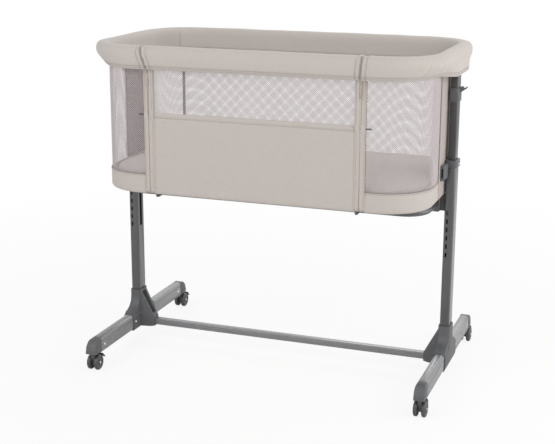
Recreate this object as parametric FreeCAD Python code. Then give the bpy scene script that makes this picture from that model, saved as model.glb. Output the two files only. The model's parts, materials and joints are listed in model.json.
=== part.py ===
import FreeCAD, Part
import math
import os

# Bedside sleeper crib. Millimetres, +X along the crib, -Y towards the bed side, +Z up.
# The origin is the middle of the footprint, on the floor.

V = FreeCAD.Vector
X, Y, Z = V(1, 0, 0), V(0, 1, 0), V(0, 0, 1)
os.makedirs("parts", exist_ok=True)

# Posts and their fits
post_spacing = 896.0        # between the middles of the two posts
outer_x, outer_y = 25.0, 40.0
outer_wall = 1.8
outer_top = 588.0
outer_bottom = 92.0
outer_corner = 4.0
inner_x, inner_y = 19.6, 34.6
inner_wall = 1.5
inner_corner = 3.0
inner_bottom = 438.0
slide_travel = 111.5        # five steps of the height setting
height_steps = 6
step_pitch = slide_travel / (height_steps - 1)
first_slot = 343.0          # middle of the lowest height slot
slot_width, slot_height = 4.5, 12.0
slot_edge = 8.0             # from the post's outer edge to the slots' middle
neck_slot_width = 13.0
neck_gap = 8.0
slide_room = 0.4            # round the inner post in the outer post's collar
wide_corner = 30.0          # corners wider than this are drawn with more chords
bend_chord_count, corner_chord_count = 6, 3     # chords in a quarter turn
corner_cut = 0.55           # a bore's cut corner, as a share of the rounded corner in it

# Collars, levers and release buttons on the posts
collar_height, collar_lip = 18.0, 4.0   # the lip closes over the outer post's end
collar_wall = 3.2
upper_collar_low, upper_collar_high = 741.0, 775.0
upper_collar_wall = 2.6
ear_thickness, ear_depth = 3.0, 8.0     # the lever's two ears, and how far they reach down
lever_length, lever_width, lever_thickness = 14.0, 16.0, 2.6
lever_pin_radius = 1.5
lever_hub = 2.4
lever_pin_out = 6.0         # lever pin, outside the inner post
lever_drop = 1.0            # lever pin, below the collar's top
button_width, button_height = 8.0, 8.0
button_room = 0.2           # round the button in its hole
button_reach = 4.5
button_travel = 3.0
button_drop = 7.5           # button's middle, below the outer post's top

# Feet
foot_reach = 258.0          # from the post to the seam of a foot's end cap
foot_width, foot_height = 27.0, 44.0
foot_bottom = 44.0
foot_wall = 2.0
fit_gap = 0.1               # round a piece pushed into another
foot_top_radius = 10.0
foot_bottom_radius = 4.0
groove_depth, groove_height = 0.8, 1.6
groove_drop = 12.5          # groove below the foot's top
cap_length = 41.0
cap_spigot = 34.0
neck_half = 9.0
neck_bottom = 47.0

# Casters
stem_ahead = 25.0           # a caster's stem, beyond the foot's seam
trail = 10.0
wheel_radius, wheel_width = 21.0, 11.0
wheel_edge = 2.0            # step from the tread down to the wheel's face
hub_radius, hub_proud = 6.0, 1.0
wheel_side_count, hub_side_count = 32, 12
wheel_gap = 10.0
axle_radius = 3.0
stem_radius, stem_top = 5.0, 72.0
web_width = 9.0
fork_gap = 0.3              # from the foot's cap to the fork's shoulder
running = 0.08              # radial clearance of a turning pin
brake_pin_radius = 1.5
brake_arm = 3.0
brake_y, brake_z = 11.0, 36.5   # the pedal's pin, behind and above the stem's foot
pedal_out, pedal_depth, pedal_width = 21.5, 12.0, 24.0     # the toe plate, from the pin

# Junction mouldings and crossbar
junction_wall = 2.6
junction_half = 68.0        # half the length of the saddle over the foot
saddle_rise = 20.0          # where the saddle's curve meets the sleeve, above the foot
sleeve_straight = 18.0      # the sleeve's straight top
sleeve_top = 149.0
gusset_reach = 54.0         # from the post to the crossbar socket's mouth
gusset_root, gusset_tip = 20.0, 13.5    # half widths of the gusset
gusset_tip_top = 67.5
channel_depth, channel_wall = 9.0, 3.5
bar_depth, bar_height = 20.0, 18.0
bar_middle_z = 54.5
bar_wall = 1.6
bar_corner = 3.0
bar_socket = 26.0
screw_radius, screw_height = 3.6, 1.6
screw_side_count = 6
cap_screw_rise = 18.5       # a cap's screw, above the foot's underside
saddle_screw_inset = 12.0   # a saddle's screw, in from the saddle's end

# Basket walls
basket_ahead = 20.0         # the basket's middle, ahead of the posts
wall_gap = 8.2              # from the walls to the inner posts
wall_half_y = 240.0
wall_corner = 115.0
cloth = 3.0
wall_low, wall_high = 503.0, 814.0
band_top = 548.0
strip_middle, strip_width = 276.0, 24.0
end_strip_half = 85.0
net_bar = 9.0               # the cloth left between a mesh wall's openings
net_row_count, window_row_count = 5, 3
window_count, rear_count, corner_count, side_count = 12, 6, 3, 1     # openings across

# Padded rim
rim_out, rim_ahead = 15.0, 2.0   # the rim's middle line, outside the walls
rim_corner = 125.0
rim_width, rim_height = 40.0, 62.0
rim_crown = 15.0
rim_hem = 5.0
rim_waist = 2.0             # the outer face's foot, outside the rim's middle line
rim_slope = 36.0            # height over which the outer face leans out
rim_tube_width, rim_tube_height = 12.0, 20.0
rim_tube_wall = 1.2
rim_tube_rise = 36.0        # the tube's middle, above the walls
rim_tube_inset = 7.0        # the tube runs nearer to the rim's inner face
soft_gap = 0.3              # cloth and foam beside a hard piece
rim_split_gap = 0.8         # each half of the rim from the zip line
rim_tube_end = 3.0          # the tube's end, from the zip line

# Drop side
hinge_z = 703.0
hinge_proud = 0.5           # the hinge line, ahead of the cloth, so the side folds flat
leg_width = 6.5
leg_gap = 0.5               # from the front cloth to a leg
eye_radius = 3.5
pin_radius = 1.8
pin_out = 303.0
lug_width, lug_height = 7.0, 8.0
upright_radius = 5.0
upright_offset = 7.0        # from the zip line to the upright behind the strip
panel_gap_low, panel_gap_high = 4.0, 2.5
leg_slot = 16.0             # below the hinge, left open for the leg as it folds

# Base of the basket
board_thickness = 8.0
mattress_height = 48.0
mattress_crown = 7.0
mattress_inset = 4.0
mattress_shoulder = 60.0    # from the sides to the flat of the top
wire_radius, wire_bend = 3.0, 7.0
wire_x = 265.0
wire_inset = 9.0            # the wires' ends, in from the cloth
loop_z = 478.0
loop_radius = 8.0
bent_side_count, wire_side_count = 12, 6    # sides of a bent tube's and wire's section
bore_side_count = 12        # sides of a plain hole round a pin
loop_inset, loop_half_y = 18.0, 134.0   # the loop's ends, in from the walls
loop_corner = 60.0
bracket_half_y = 24.0
bracket_in, bracket_out = 17.0, 12.0    # the block each way from the loop's tube
bracket_below = 22.0        # the block below the loop's middle
bracket_bevel = 3.0
rod_radius = 4.0
rod_room = 1.5              # from a rod to the mattress
rod_gap = 1.5               # from the cloth to a back rod
rod_angle = 52.0            # where the back rods stand round the corner

# Zip sliders and side clips
slider_width, slider_depth, slider_height = 9.0, 5.0, 12.0
slider_gap = 0.6            # from the cloth to the slider's back
pull_width, pull_thickness, pull_length = 5.0, 1.6, 30.0
slider_drop = 12.0          # slider's middle, below the walls' top
clip_out, clip_width, clip_height = 13.0, 44.0, 38.0
clip_bevel = 2.5

post_half = post_spacing / 2
caster_reach = foot_reach + stem_ahead
foot_front = foot_reach + cap_length
foot_rear = caster_reach + brake_y + pedal_out + pedal_depth + 1
post_y = (foot_front - foot_rear) / 2
basket_y = post_y - basket_ahead
wall_half_x = post_half - inner_x / 2 - wall_gap
rim_half_x, rim_half_y = wall_half_x + rim_out, wall_half_y + rim_ahead
rim_tube_z = wall_high + rim_tube_rise
loop_half_x = wall_half_x - loop_inset
slider_z = wall_high - slider_drop
beyond = 2 * post_spacing
sides = {"left": -1, "right": 1}
ends = {"front": -1, "rear": 1}
front_out = basket_y - wall_half_y
front_in = front_out + cloth
hinge_y = front_out - hinge_proud
zip_line = strip_middle
strip_in, strip_out = strip_middle - strip_width / 2, strip_middle + strip_width / 2
leg_in, leg_out = strip_in + leg_gap, strip_in + leg_gap + leg_width
upright_x, upright_y = zip_line + upright_offset, front_in + soft_gap + upright_radius
button_z = outer_top - button_drop
lever_z = upper_collar_high - lever_drop
parts = {}


def keep(name, *solids):
    """One node: a solid, or several separate ones."""
    whole = [s for piece in solids for s in piece.Solids]
    parts[name] = whole[0] if len(whole) == 1 else Part.makeCompound(whole)


def box(x0, x1, y0, y1, z0, z1):
    low = V(min(x0, x1), min(y0, y1), min(z0, z1))
    return Part.makeBox(abs(x1 - x0), abs(y1 - y0), abs(z1 - z0), low)


def rod(start, direction, radius, length):
    return Part.makeCylinder(radius, length, start, direction)


def extrude(wire, direction):
    return Part.Face(wire).extrude(direction)


def moved(shape, x=0, y=0, z=0):
    copy = shape.copy()
    copy.translate(V(x, y, z))
    return copy


def mirrored(shape, side):
    """The left-hand twin of a right-hand shape."""
    return shape.mirror(V(0, 0, 0), X) if side < 0 else shape


def chord_count(radius):
    """How many chords draw a quarter turn."""
    return round(bend_chord_count if radius > wide_corner else corner_chord_count)


def round_ring(half_x, half_y, radius, z=0.0, x=0.0, y=0.0):
    """The corners of a rounded rectangle in plan, its quarter turns drawn in chords."""
    spots, count = [], chord_count(radius)
    for n, (sx, sy) in enumerate(((1, 1), (-1, 1), (-1, -1), (1, -1))):
        cx, cy = x + sx * (half_x - radius), y + sy * (half_y - radius)
        for i in range(count + 1):
            angle = math.pi / 2 * (n + i / count)
            spots.append(V(cx + radius * math.cos(angle), cy + radius * math.sin(angle), z))
    return spots


def closed(spots):
    return Part.makePolygon(spots + spots[:1])


def chorded(spots):
    """A closed outline; a spot marked True is the middle of an arc between its neighbours."""
    corners = []
    for n, (spot, middle) in enumerate(spots):
        if not middle:
            corners.append(spot)
            continue
        before, after = spots[n - 1][0], spots[(n + 1) % len(spots)][0]
        arc = Part.Arc(before, spot, after).toShape().discretize(round(corner_chord_count) + 1)
        inner = arc[1:-1]
        corners += inner if (arc[0] - before).Length < (arc[-1] - before).Length else inner[::-1]
    return closed(corners)


def solid_of_rings(rings, looped=False):
    """A solid from rings of corners, one after the other, each side between two rings flat."""
    faces, n = [], len(rings[0])
    pairs = list(zip(rings, rings[1:] + rings[:1])) if looped else list(zip(rings, rings[1:]))
    for a, b in pairs:
        for k in range(n):
            m = (k + 1) % n
            faces.append(Part.Face(closed([a[k], a[m], b[m], b[k]])))
    if not looped:
        faces += [Part.Face(closed(rings[0])), Part.Face(closed(rings[-1]))]
    shell = Part.makeShell(faces)
    shell.sewShape()
    solid = Part.makeSolid(shell)
    return solid if solid.Volume > 0 else solid.reversed()


def round_prism(half_x, half_y, radius, low, high, x=0.0, y=0.0):
    return extrude(closed(round_ring(half_x, half_y, radius, low, x, y)), V(0, 0, high - low))


def bevel_prism(half_x, half_y, cut, low, high, x=0.0, y=0.0):
    """A rectangle in plan with cut corners, for bores that nobody sees."""
    corners = []
    for sx, sy, swap in ((1, 1, 0), (-1, 1, 1), (-1, -1, 0), (1, -1, 1)):
        pair = [V(x + sx * half_x, y + sy * (half_y - cut), low),
                V(x + sx * (half_x - cut), y + sy * half_y, low)]
        corners += pair[::-1] if swap else pair
    return extrude(closed(corners), V(0, 0, high - low))


def flat_rod(start, direction, radius, length, count):
    """A rod drawn with a few flats, along any direction."""
    turn, corners = FreeCAD.Rotation(Z, direction), []
    for n in range(round(count)):
        angle = 2 * math.pi * (n + 0.5) / round(count)
        spot = V(radius * math.cos(angle), radius * math.sin(angle), 0)
        corners.append(start + turn.multVec(spot))
    return extrude(closed(corners), direction * length)


def bore(start, direction, radius, length):
    """A hole's room round a pin: its flats touch the hole's radius."""
    reach = radius / math.cos(math.pi / round(bore_side_count))
    return flat_rod(start, direction, reach, length, bore_side_count)


def flat_sided(count, radius):
    """A bent tube's section, as (across, up) corners: a round one drawn with a few flats."""
    count = round(count)
    angles = [2 * math.pi * (n + 0.5) / count for n in range(count)]
    return [(radius * math.cos(a), radius * math.sin(a)) for a in angles]


def oblong(half_x, half_z):
    return [(-half_x, -half_z), (half_x, -half_z), (half_x, half_z), (-half_x, half_z)]


def flat_disc(x0, x1, radius, count):
    """A disc along X, with a number of flats."""
    count = round(count)
    ring = [V(x0, radius * math.cos(2 * math.pi * n / count),
              -radius * math.cos(math.pi / 2 - 2 * math.pi * n / count)) for n in range(count)]
    return extrude(closed(ring), V(x1 - x0, 0, 0))


def swept(section, steps, start, heading=0.0):
    """A section of (across, up) corners carried in plan along (length,) and (radius, turn)."""
    joints = [(start, heading)]
    for step in steps:
        spot, heading = joints[-1]
        turn = FreeCAD.Rotation(Z, heading)
        ahead, left = turn.multVec(X), turn.multVec(Y)
        if len(step) == 1:
            joints.append((spot + ahead * step[0], heading))
            continue
        radius, bend = step
        centre, count = spot + left * radius, chord_count(radius)
        for n in range(1, count + 1):
            part = bend * n / count
            arm = FreeCAD.Rotation(Z, part).multVec(left * radius)
            joints.append((centre - arm, heading + part))
    looped = (joints[-1][0] - start).Length < fit_gap
    rings = []
    for spot, heading in joints[:-1] if looped else joints:
        right = FreeCAD.Rotation(Z, heading - 90).multVec(X)
        rings.append([spot + right * across + Z * up for across, up in section])
    return solid_of_rings(rings, looped)


def upended(shape, x):
    """A shape drawn in plan, stood up so that its X runs along Y and its Y up Z."""
    shape.Placement = FreeCAD.Placement(V(x, 0, 0), FreeCAD.Rotation(V(1, 1, 1), 120))
    return shape


def side_wire(points, x):
    """A closed outline in the YZ plane; a point with a third value is an arc's middle."""
    return chorded([(V(x, p[0], p[1]), len(p) > 2) for p in points])


# Stand

def foot_section(grow, y):
    """The foot's section at y: flat sides, a rounded top and small rounds below."""
    half = foot_width / 2 + grow
    low, high = foot_bottom - grow, foot_bottom + foot_height + grow
    top, foot = foot_top_radius + grow, foot_bottom_radius + max(grow, -2)
    bend, small = top * (1 - math.sqrt(0.5)), foot * (1 - math.sqrt(0.5))
    run = [(half - foot, low, False), (half - small, low + small, True),
           (half, low + foot, False), (half, high - top, False),
           (half - bend, high - bend, True), (half - top, high, False)]
    spots = [(V(x, y, z), middle) for x, z, middle in run]
    return chorded(spots + [(V(-x, y, z), middle) for x, z, middle in run[::-1]])


def foot_tube(x):
    start, run = post_y - foot_reach, V(0, 2 * foot_reach, 0)
    room = extrude(foot_section(-foot_wall, start), run)
    tube = extrude(foot_section(0, start), run).cut(room)
    groove_z = foot_bottom + foot_height - groove_drop
    for side in (-1, 1):
        edge = side * foot_width / 2
        tube = tube.cut(box(edge, edge - side * groove_depth, start, start + 2 * foot_reach,
                            groove_z - groove_height, groove_z))
    return moved(tube, x)


def foot_cap(x, end):
    """An elbow that closes the foot and turns down to the caster's socket."""
    seam, tip = foot_reach, foot_reach + cap_length
    top = foot_bottom + foot_height
    bend = cap_length - 5
    stem = caster_reach
    outline = [(seam, foot_bottom), (seam + 6, foot_bottom), (seam + 11, foot_bottom + 2.5, 1),
               (stem - neck_half, neck_bottom), (stem + neck_half, neck_bottom),
               (tip, foot_bottom + 6), (tip, top - bend),
               (tip - bend * (1 - math.sqrt(0.5)), top - bend * (1 - math.sqrt(0.5)), 1),
               (tip - bend, top), (seam, top)]
    shell = extrude(side_wire(outline, -foot_width), V(2 * foot_width, 0, 0))
    shell = shell.common(extrude(foot_section(0, seam), V(0, cap_length, 0)))
    inset, cut = foot_wall + fit_gap, foot_bottom_radius
    half, low = foot_width / 2 - inset, foot_bottom + inset
    level = foot_bottom + foot_height - foot_top_radius
    section = [V(x, seam - cap_spigot, z) for x, z in
               ((cut - half, low), (half - cut, low), (half, low + cut), (half, level),
                (-half, level), (-half, low + cut))]
    spigot = extrude(closed(section), V(0, cap_spigot + 2, 0))
    socket = bore(V(0, stem, neck_bottom - 1), Z, stem_radius + running,
                  stem_top - neck_bottom + 3)
    cap = shell.fuse(spigot).cut(socket).removeSplitter()
    if end < 0:
        cap = cap.mirror(V(0, 0, 0), Y)
    return moved(cap, x, post_y)


def outer_post(side):
    x = side * post_half
    post = round_prism(outer_x / 2, outer_y / 2, outer_corner, outer_bottom, outer_top, x, post_y)
    post = post.cut(bevel_prism(outer_x / 2 - outer_wall, outer_y / 2 - outer_wall,
                                outer_corner - outer_wall, outer_bottom - 1, outer_top + 1,
                                x, post_y))
    slot_x = x - outer_x / 2 + slot_edge
    front = post_y - outer_y / 2
    for n in range(height_steps):
        middle = first_slot + n * step_pitch
        post = post.cut(box(slot_x - slot_width / 2, slot_x + slot_width / 2, front - 1,
                            front + outer_wall + 0.5, middle - slot_height / 2,
                            middle + slot_height / 2))
    inner_face = x - side * outer_x / 2
    neck_low = loop_z - bracket_below - slide_travel - neck_gap
    return post.cut(box(inner_face - side, inner_face + side * (outer_wall + 0.5),
                        post_y - neck_slot_width / 2, post_y + neck_slot_width / 2,
                        neck_low, outer_top + 1))


def post_collar(side):
    """Plastic collar at the outer post's top, open towards the basket for the bracket's neck."""
    x, high = side * post_half, outer_top + collar_lip
    low = high - collar_height
    grow = collar_wall
    collar = round_prism(outer_x / 2 + grow, outer_y / 2 + grow, outer_corner + grow,
                         low, high, x, post_y)
    collar = collar.cut(bevel_prism(outer_x / 2, outer_y / 2, corner_cut * outer_corner,
                                    low - 1, outer_top, x, post_y))
    collar = collar.cut(bevel_prism(inner_x / 2 + slide_room, inner_y / 2 + slide_room,
                                    corner_cut * inner_corner, low, high + 1, x, post_y))
    face = x - side * outer_x / 2
    collar = collar.cut(box(face - side * (grow + 1), face + side * (outer_corner + 1),
                            post_y - neck_slot_width / 2, post_y + neck_slot_width / 2,
                            low - 1, high + 1))
    return collar.cut(button_block(side, x, x + side * outer_x, button_room))


def button_block(side, x0, x1, grow=0.0):
    half_y, half_z = button_width / 2 + grow, button_height / 2 + grow
    return box(x0, x1, post_y - half_y, post_y + half_y, button_z - half_z, button_z + half_z)


def drilled_post(post, side):
    """The outer post with the release button's hole in its outward face."""
    x = side * post_half
    return post.cut(button_block(side, x, x + side * outer_x, button_room))


def release_button(side):
    """A small hooked button: its lower half stands out further than its upper half."""
    start = side * (post_half + inner_x / 2 + button_travel + 0.5)
    end = side * (post_half + outer_x / 2 + collar_wall + button_reach)
    block = button_block(side, start, end)
    slope = [V(end, 0, button_z - 1), V(end, 0, button_z + button_height),
             V(end - side * (button_reach - 1), 0, button_z + button_height),
             V(end - side * (button_reach - 1), 0, button_z + 1)]
    notch = extrude(Part.makePolygon([p + V(0, post_y - button_width, 0)
                                      for p in slope + slope[:1]]), V(0, 2 * button_width, 0))
    return block.cut(notch)


def junction(side):
    """Moulding that sockets the post, saddles the foot and reaches in to the crossbar."""
    top = foot_bottom + foot_height
    half, low = junction_half, foot_bottom - 3.5
    sleeve = outer_y / 2 + junction_wall
    outline = [(-half, low), (half, low), (half, top - 4), (half - 7, top + 4, 1),
               (half - 18, top + 7), (sleeve + 8, top + saddle_rise, 1), (sleeve, sleeve_top - sleeve_straight),
               (sleeve, sleeve_top), (-sleeve, sleeve_top), (-sleeve, sleeve_top - sleeve_straight),
               (-sleeve - 8, top + saddle_rise, 1), (-half + 18, top + 7), (-half + 7, top + 4, 1),
               (-half, top - 4)]
    width = foot_width + 2 * junction_wall
    body = extrude(side_wire(outline, -width / 2 + 2.5), V(width - 5, 0, 0))
    saddle = extrude(foot_section(junction_wall, -half), V(0, 2 * half, 0))
    body = body.fuse([saddle, round_prism(width / 2, sleeve, outer_corner + junction_wall,
                                          low + 6, sleeve_top)])
    slope = [V(width / 2 - 4, 0, sleeve_top - 2), V(gusset_reach, 0, gusset_tip_top),
             V(gusset_reach, 0, low + 2), V(gusset_reach - 14, 0, low), V(0, 0, low),
             V(0, 0, sleeve_top - 2)]
    wedge = extrude(Part.makePolygon([p - V(0, gusset_root, 0) for p in slope + slope[:1]]),
                    V(0, 2 * gusset_root, 0))
    plan = [V(0, -gusset_root, 0), V(width / 2, -gusset_root, 0), V(gusset_reach, -gusset_tip, 0),
            V(gusset_reach, gusset_tip, 0), V(width / 2, gusset_root, 0), V(0, gusset_root, 0)]
    wedge = wedge.common(extrude(Part.makePolygon(plan + plan[:1]), V(0, 0, sleeve_top + 10)))
    drop = V(gusset_reach, 0, gusset_tip_top) - V(width / 2 - 4, 0, sleeve_top - 2)
    normal = V(-drop.z, 0, drop.x) * (1 / drop.Length)
    start = V(width / 2 - 4, 0, sleeve_top - 2) + drop * 0.07
    stop = start + drop * 0.78
    channel = [start + normal * 5, stop + normal * 5, stop - normal * channel_depth,
               start - normal * channel_depth]
    inner = gusset_tip - channel_wall
    channel = extrude(Part.makePolygon([p - V(0, inner, 0) for p in channel + channel[:1]]),
                      V(0, 2 * inner, 0))
    body = body.fuse(wedge).cut(channel).removeSplitter()
    body = body.cut(extrude(foot_section(fit_gap, -half - 1), V(0, 2 * half + 2, 0)))
    body = body.cut(bevel_prism(outer_x / 2 + fit_gap, outer_y / 2 + fit_gap,
                                corner_cut * outer_corner, outer_bottom, sleeve_top + 1))
    body = body.cut(bar_room(fit_gap, gusset_reach - bar_socket, gusset_reach + 5))
    return moved(mirrored(body, -side), side * post_half, post_y)


def bar_block(grow, x0, x1):
    bar = round_prism(bar_depth / 2 + grow, bar_height / 2 + grow, bar_corner + grow, x0, x1)
    return moved(upended(bar, 0), 0, 0, bar_middle_z)


def bar_room(grow, x0, x1):
    room = bevel_prism(bar_depth / 2 + grow, bar_height / 2 + grow, corner_cut * bar_corner,
                       x0, x1)
    return moved(upended(room, 0), 0, 0, bar_middle_z)


def crossbar():
    reach = post_half - gusset_reach + bar_socket
    bar = bar_block(0, -reach, reach).cut(bar_room(-bar_wall, -reach - 1, reach + 1))
    for face in (-1, 1):
        for level in (-3.5, 3.5):
            edge = face * bar_depth / 2
            bar = bar.cut(box(-reach, reach, edge, edge - face * 0.7,
                              bar_middle_z + level - 0.9, bar_middle_z + level + 0.9))
    return moved(bar, 0, post_y)


def screw_head(face, side, y, z):
    head = flat_disc(0, -side * screw_height, screw_radius, screw_side_count)
    return moved(head, face, y, z)


def stand_screws():
    heads = []
    for side in sides.values():
        face = side * (post_half - foot_width / 2)
        for end in ends.values():
            y = post_y + end * (foot_reach - cap_spigot / 2)
            heads.append(screw_head(face, side, y, foot_bottom + cap_screw_rise))
        saddle = side * (post_half - foot_width / 2 - junction_wall)
        for end in ends.values():
            y = post_y + end * (junction_half - saddle_screw_inset)
            heads.append(screw_head(saddle, side, y, foot_bottom + foot_height / 2))
    return Part.makeCompound(heads)


# Casters

def caster_fork(x, y):
    """Stem and the web between the wheels, slotted at the back for the brake's arm."""
    axle = V(0, trail, wheel_radius)
    shoulder = neck_bottom - fork_gap
    outline = [(-neck_half + 1, shoulder), (trail - 8, wheel_radius + 4),
               (trail - 8, wheel_radius - 4), (trail - 4, wheel_radius - 8),
               (trail + 4, wheel_radius - 8), (trail + 8, wheel_radius - 4),
               (brake_y + 4, brake_z), (brake_y + 3, brake_z + 5), (neck_half - 1, shoulder)]
    web = extrude(side_wire(outline, -web_width / 2), V(web_width, 0, 0))
    web = web.fuse(rod(V(0, 0, shoulder - 2), Z, stem_radius, stem_top - shoulder + 2))
    slot = box(-brake_arm / 2 - 0.3, brake_arm / 2 + 0.3, brake_y - 5.5, brake_y + 12,
               brake_z - 5.5, brake_z + 5.4)
    web = web.cut(slot)
    web = web.cut(bore(axle - X * web_width, X, axle_radius + running, 2 * web_width))
    web = web.cut(bore(V(-web_width, brake_y, brake_z), X, brake_pin_radius + running,
                       2 * web_width))
    return moved(web.removeSplitter(), x, y)


def caster_wheels(x, y):
    """Two wheels pressed on one axle, each with a bevelled tread and a raised hub."""
    near, far = wheel_gap / 2, wheel_gap / 2 + wheel_width
    pair = rod(V(-near, 0, 0), X, axle_radius, 2 * near)
    for side in (-1, 1):
        tread = flat_disc(side * near, side * (far - wheel_edge), wheel_radius, wheel_side_count)
        face = flat_disc(side * (far - wheel_edge), side * far, wheel_radius - wheel_edge,
                         wheel_side_count)
        hub = flat_disc(side * far, side * (far + hub_proud), hub_radius, hub_side_count)
        pair = pair.fuse([tread, face, hub])
    return moved(pair, x, y + trail, wheel_radius)


def caster_brake(x, y):
    """Pedal: an arm between the wheels, its pin, and a wide toe plate behind them."""
    start = brake_y + pedal_out
    arm = box(-brake_arm / 2, brake_arm / 2, brake_y - 3, start + 1, brake_z - 2.5,
              brake_z + 2.5)
    pin = rod(V(-web_width / 2, brake_y, brake_z), X, brake_pin_radius, web_width)
    outline = [(start, brake_z - 5), (start + pedal_depth, brake_z - 12),
               (start + pedal_depth + 1, brake_z - 9.5), (start + 1, brake_z + 2.5),
               (start, brake_z + 2.5)]
    plate = extrude(side_wire(outline, -pedal_width / 2), V(pedal_width, 0, 0))
    return moved(arm.fuse([pin, plate]).removeSplitter(), x, y)


# Basket frame

def inner_post(side):
    x = side * post_half
    post_top = rim_tube_z - rim_tube_height / 2
    post = round_prism(inner_x / 2, inner_y / 2, inner_corner, inner_bottom, post_top, x, post_y)
    return post.cut(bevel_prism(inner_x / 2 - inner_wall, inner_y / 2 - inner_wall,
                                inner_corner - inner_wall, inner_bottom - 1, post_top - 3,
                                x, post_y))


def upper_collar(side):
    """Collar fixed round the inner post, with two ears for the lever's pin."""
    x = side * post_half
    grow = upper_collar_wall
    collar = round_prism(inner_x / 2 + grow, inner_y / 2 + grow, inner_corner + grow,
                         upper_collar_low, upper_collar_high, x, post_y)
    collar = collar.cut(bevel_prism(inner_x / 2, inner_y / 2, corner_cut * inner_corner,
                                    upper_collar_low - 1, upper_collar_high + 1, x, post_y))
    face, pin_x = x + side * (inner_x / 2 + grow), lever_pin_x(side)
    ears = []
    for end in (-1, 1):
        near = post_y + end * (lever_width / 2 + soft_gap)
        ears.append(box(face - side * 0.5, pin_x + side * ear_thickness, near,
                        near + end * ear_thickness, lever_z - ear_depth, lever_z + 3))
    collar = collar.fuse(ears)
    reach = lever_width / 2 + 2 * ear_thickness
    return collar.cut(bore(V(pin_x, post_y - reach, lever_z), Y, lever_pin_radius + running,
                           2 * reach))


def lever_pin_x(side):
    return side * (post_half + inner_x / 2 + lever_pin_out)


def height_lever(side):
    """A curved tongue on a pin, lifted by a fingertip."""
    t, tip = lever_thickness / 2, lever_length
    outline = [V(-lever_hub, 0, -t), V(tip * 0.5, 0, -t - 2.5), V(tip, 0, t + 2),
               V(tip - 1.5, 0, t + 3.5), V(tip * 0.5, 0, t - 1), V(-lever_hub, 0, t)]
    spots = [(spot, n in (1, 4)) for n, spot in enumerate(outline)]
    tongue = extrude(chorded(spots), V(0, lever_width, 0))
    pin_end = soft_gap + ear_thickness
    pin = rod(V(0, -pin_end, 0), Y, lever_pin_radius, lever_width + 2 * pin_end)
    lever = tongue.fuse([pin, box(-lever_hub, lever_hub, 0, lever_width, -t, t)])
    lever = moved(lever.removeSplitter(), inner_x / 2 + lever_pin_out, -lever_width / 2, lever_z)
    return moved(mirrored(lever, side), side * post_half, post_y)


def base_loop():
    """A closed tube: half the front run, round the four corners and back to the start."""
    long_run, short_run = 2 * (loop_half_x - loop_corner), 2 * (loop_half_y - loop_corner)
    bend = (loop_corner, 90)
    steps = [(long_run / 2,), bend, (short_run,), bend, (long_run,), bend, (short_run,), bend,
             (long_run / 2,)]
    return swept(flat_sided(bent_side_count, loop_radius), steps,
                 V(0, basket_y - loop_half_y, loop_z))


def bracket(side):
    """Clamp block round the loop's end, with a neck through the post's long slot."""
    inner, outer = loop_half_x - bracket_in, loop_half_x + bracket_out
    low, high = loop_z - bracket_below, wall_low
    body = box(inner, outer, post_y - bracket_half_y, post_y + bracket_half_y, low, high)
    body = body.makeChamfer(bracket_bevel, [e for e in body.Edges if e.BoundBox.ZMin < high - 1])
    neck_end = post_half - inner_x / 2
    neck = box(outer - 4, neck_end, post_y - neck_slot_width / 2 + 1.5,
               post_y + neck_slot_width / 2 - 1.5, low, high - 2)
    body = body.fuse(neck)
    tunnel = bore(V(loop_half_x, post_y - 2 * bracket_half_y, loop_z), Y, loop_radius,
                  4 * bracket_half_y)
    return mirrored(body.cut(tunnel).removeSplitter(), side)


def support_wire(x):
    """A wire under the base, turned up at the front and the back edge of the board."""
    front = front_in + wire_inset
    run = 2 * (wall_half_y - cloth - wire_inset) - 2 * wire_bend
    low = loop_z + loop_radius + wire_radius
    rise = wall_low - low - wire_bend
    steps = [(rise,), (wire_bend, 90), (run,), (wire_bend, 90), (rise,)]
    wire = swept(flat_sided(wire_side_count, wire_radius), steps, V(front, wall_low, 0), -90.0)
    return upended(wire, x)


def base_board():
    inset = cloth + soft_gap
    return round_prism(wall_half_x - inset, wall_half_y - inset, wall_corner - inset,
                       wall_low, wall_low + board_thickness, 0, basket_y)


def mattress():
    """A pad with a crowned top and sides drawn in at mid height."""
    low = wall_low + board_thickness + soft_gap
    inset = cloth + mattress_inset
    tufts = [(0.0, 5.0), (0.5, 1.0), (1.0, 7.0)]
    slices = []
    for share, draw in tufts:
        back = inset + draw
        slices.append(round_ring(wall_half_x - back, wall_half_y - back, wall_corner - back,
                                 low + share * (mattress_height - mattress_crown),
                                 0, basket_y))
    back = inset + mattress_shoulder
    slices.append(round_ring(wall_half_x - back, wall_half_y - back, wall_corner - back,
                             low + mattress_height, 0, basket_y))
    pad = solid_of_rings(slices)
    for side in (-1, 1):
        pad = pad.cut(rod_notch(rod_place(side), rod_radius + rod_room))
        pad = pad.cut(rod_notch(V(side * upright_x, upright_y, 0), upright_radius + rod_room))
    return pad


def rod_place(side):
    """Where a back rod stands: inside the cloth, partway round the rear corner."""
    reach, angle = wall_corner - cloth - rod_gap - rod_radius, math.radians(rod_angle)
    return V(side * (wall_half_x - wall_corner + reach * math.cos(angle)),
             basket_y + wall_half_y - wall_corner + reach * math.sin(angle), 0)


def rod_span():
    """The rods stand on the board and end under the rim's tube."""
    return wall_low + board_thickness, rim_tube_z - rim_tube_height / 2


def rod_notch(place, half):
    """Square room round a rod in a soft piece."""
    low, top = rod_span()
    return box(place.x - half, place.x + half, place.y - half, place.y + half, low, top)


def standing(place, radius):
    low, top = rod_span()
    return flat_rod(V(place.x, place.y, low), Z, radius, top - low, bent_side_count)


def frame_rods():
    pieces = []
    for side in (-1, 1):
        pieces.append(standing(rod_place(side), rod_radius))
        pieces.append(standing(V(side * upright_x, upright_y, 0), upright_radius))
    return pieces


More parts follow.
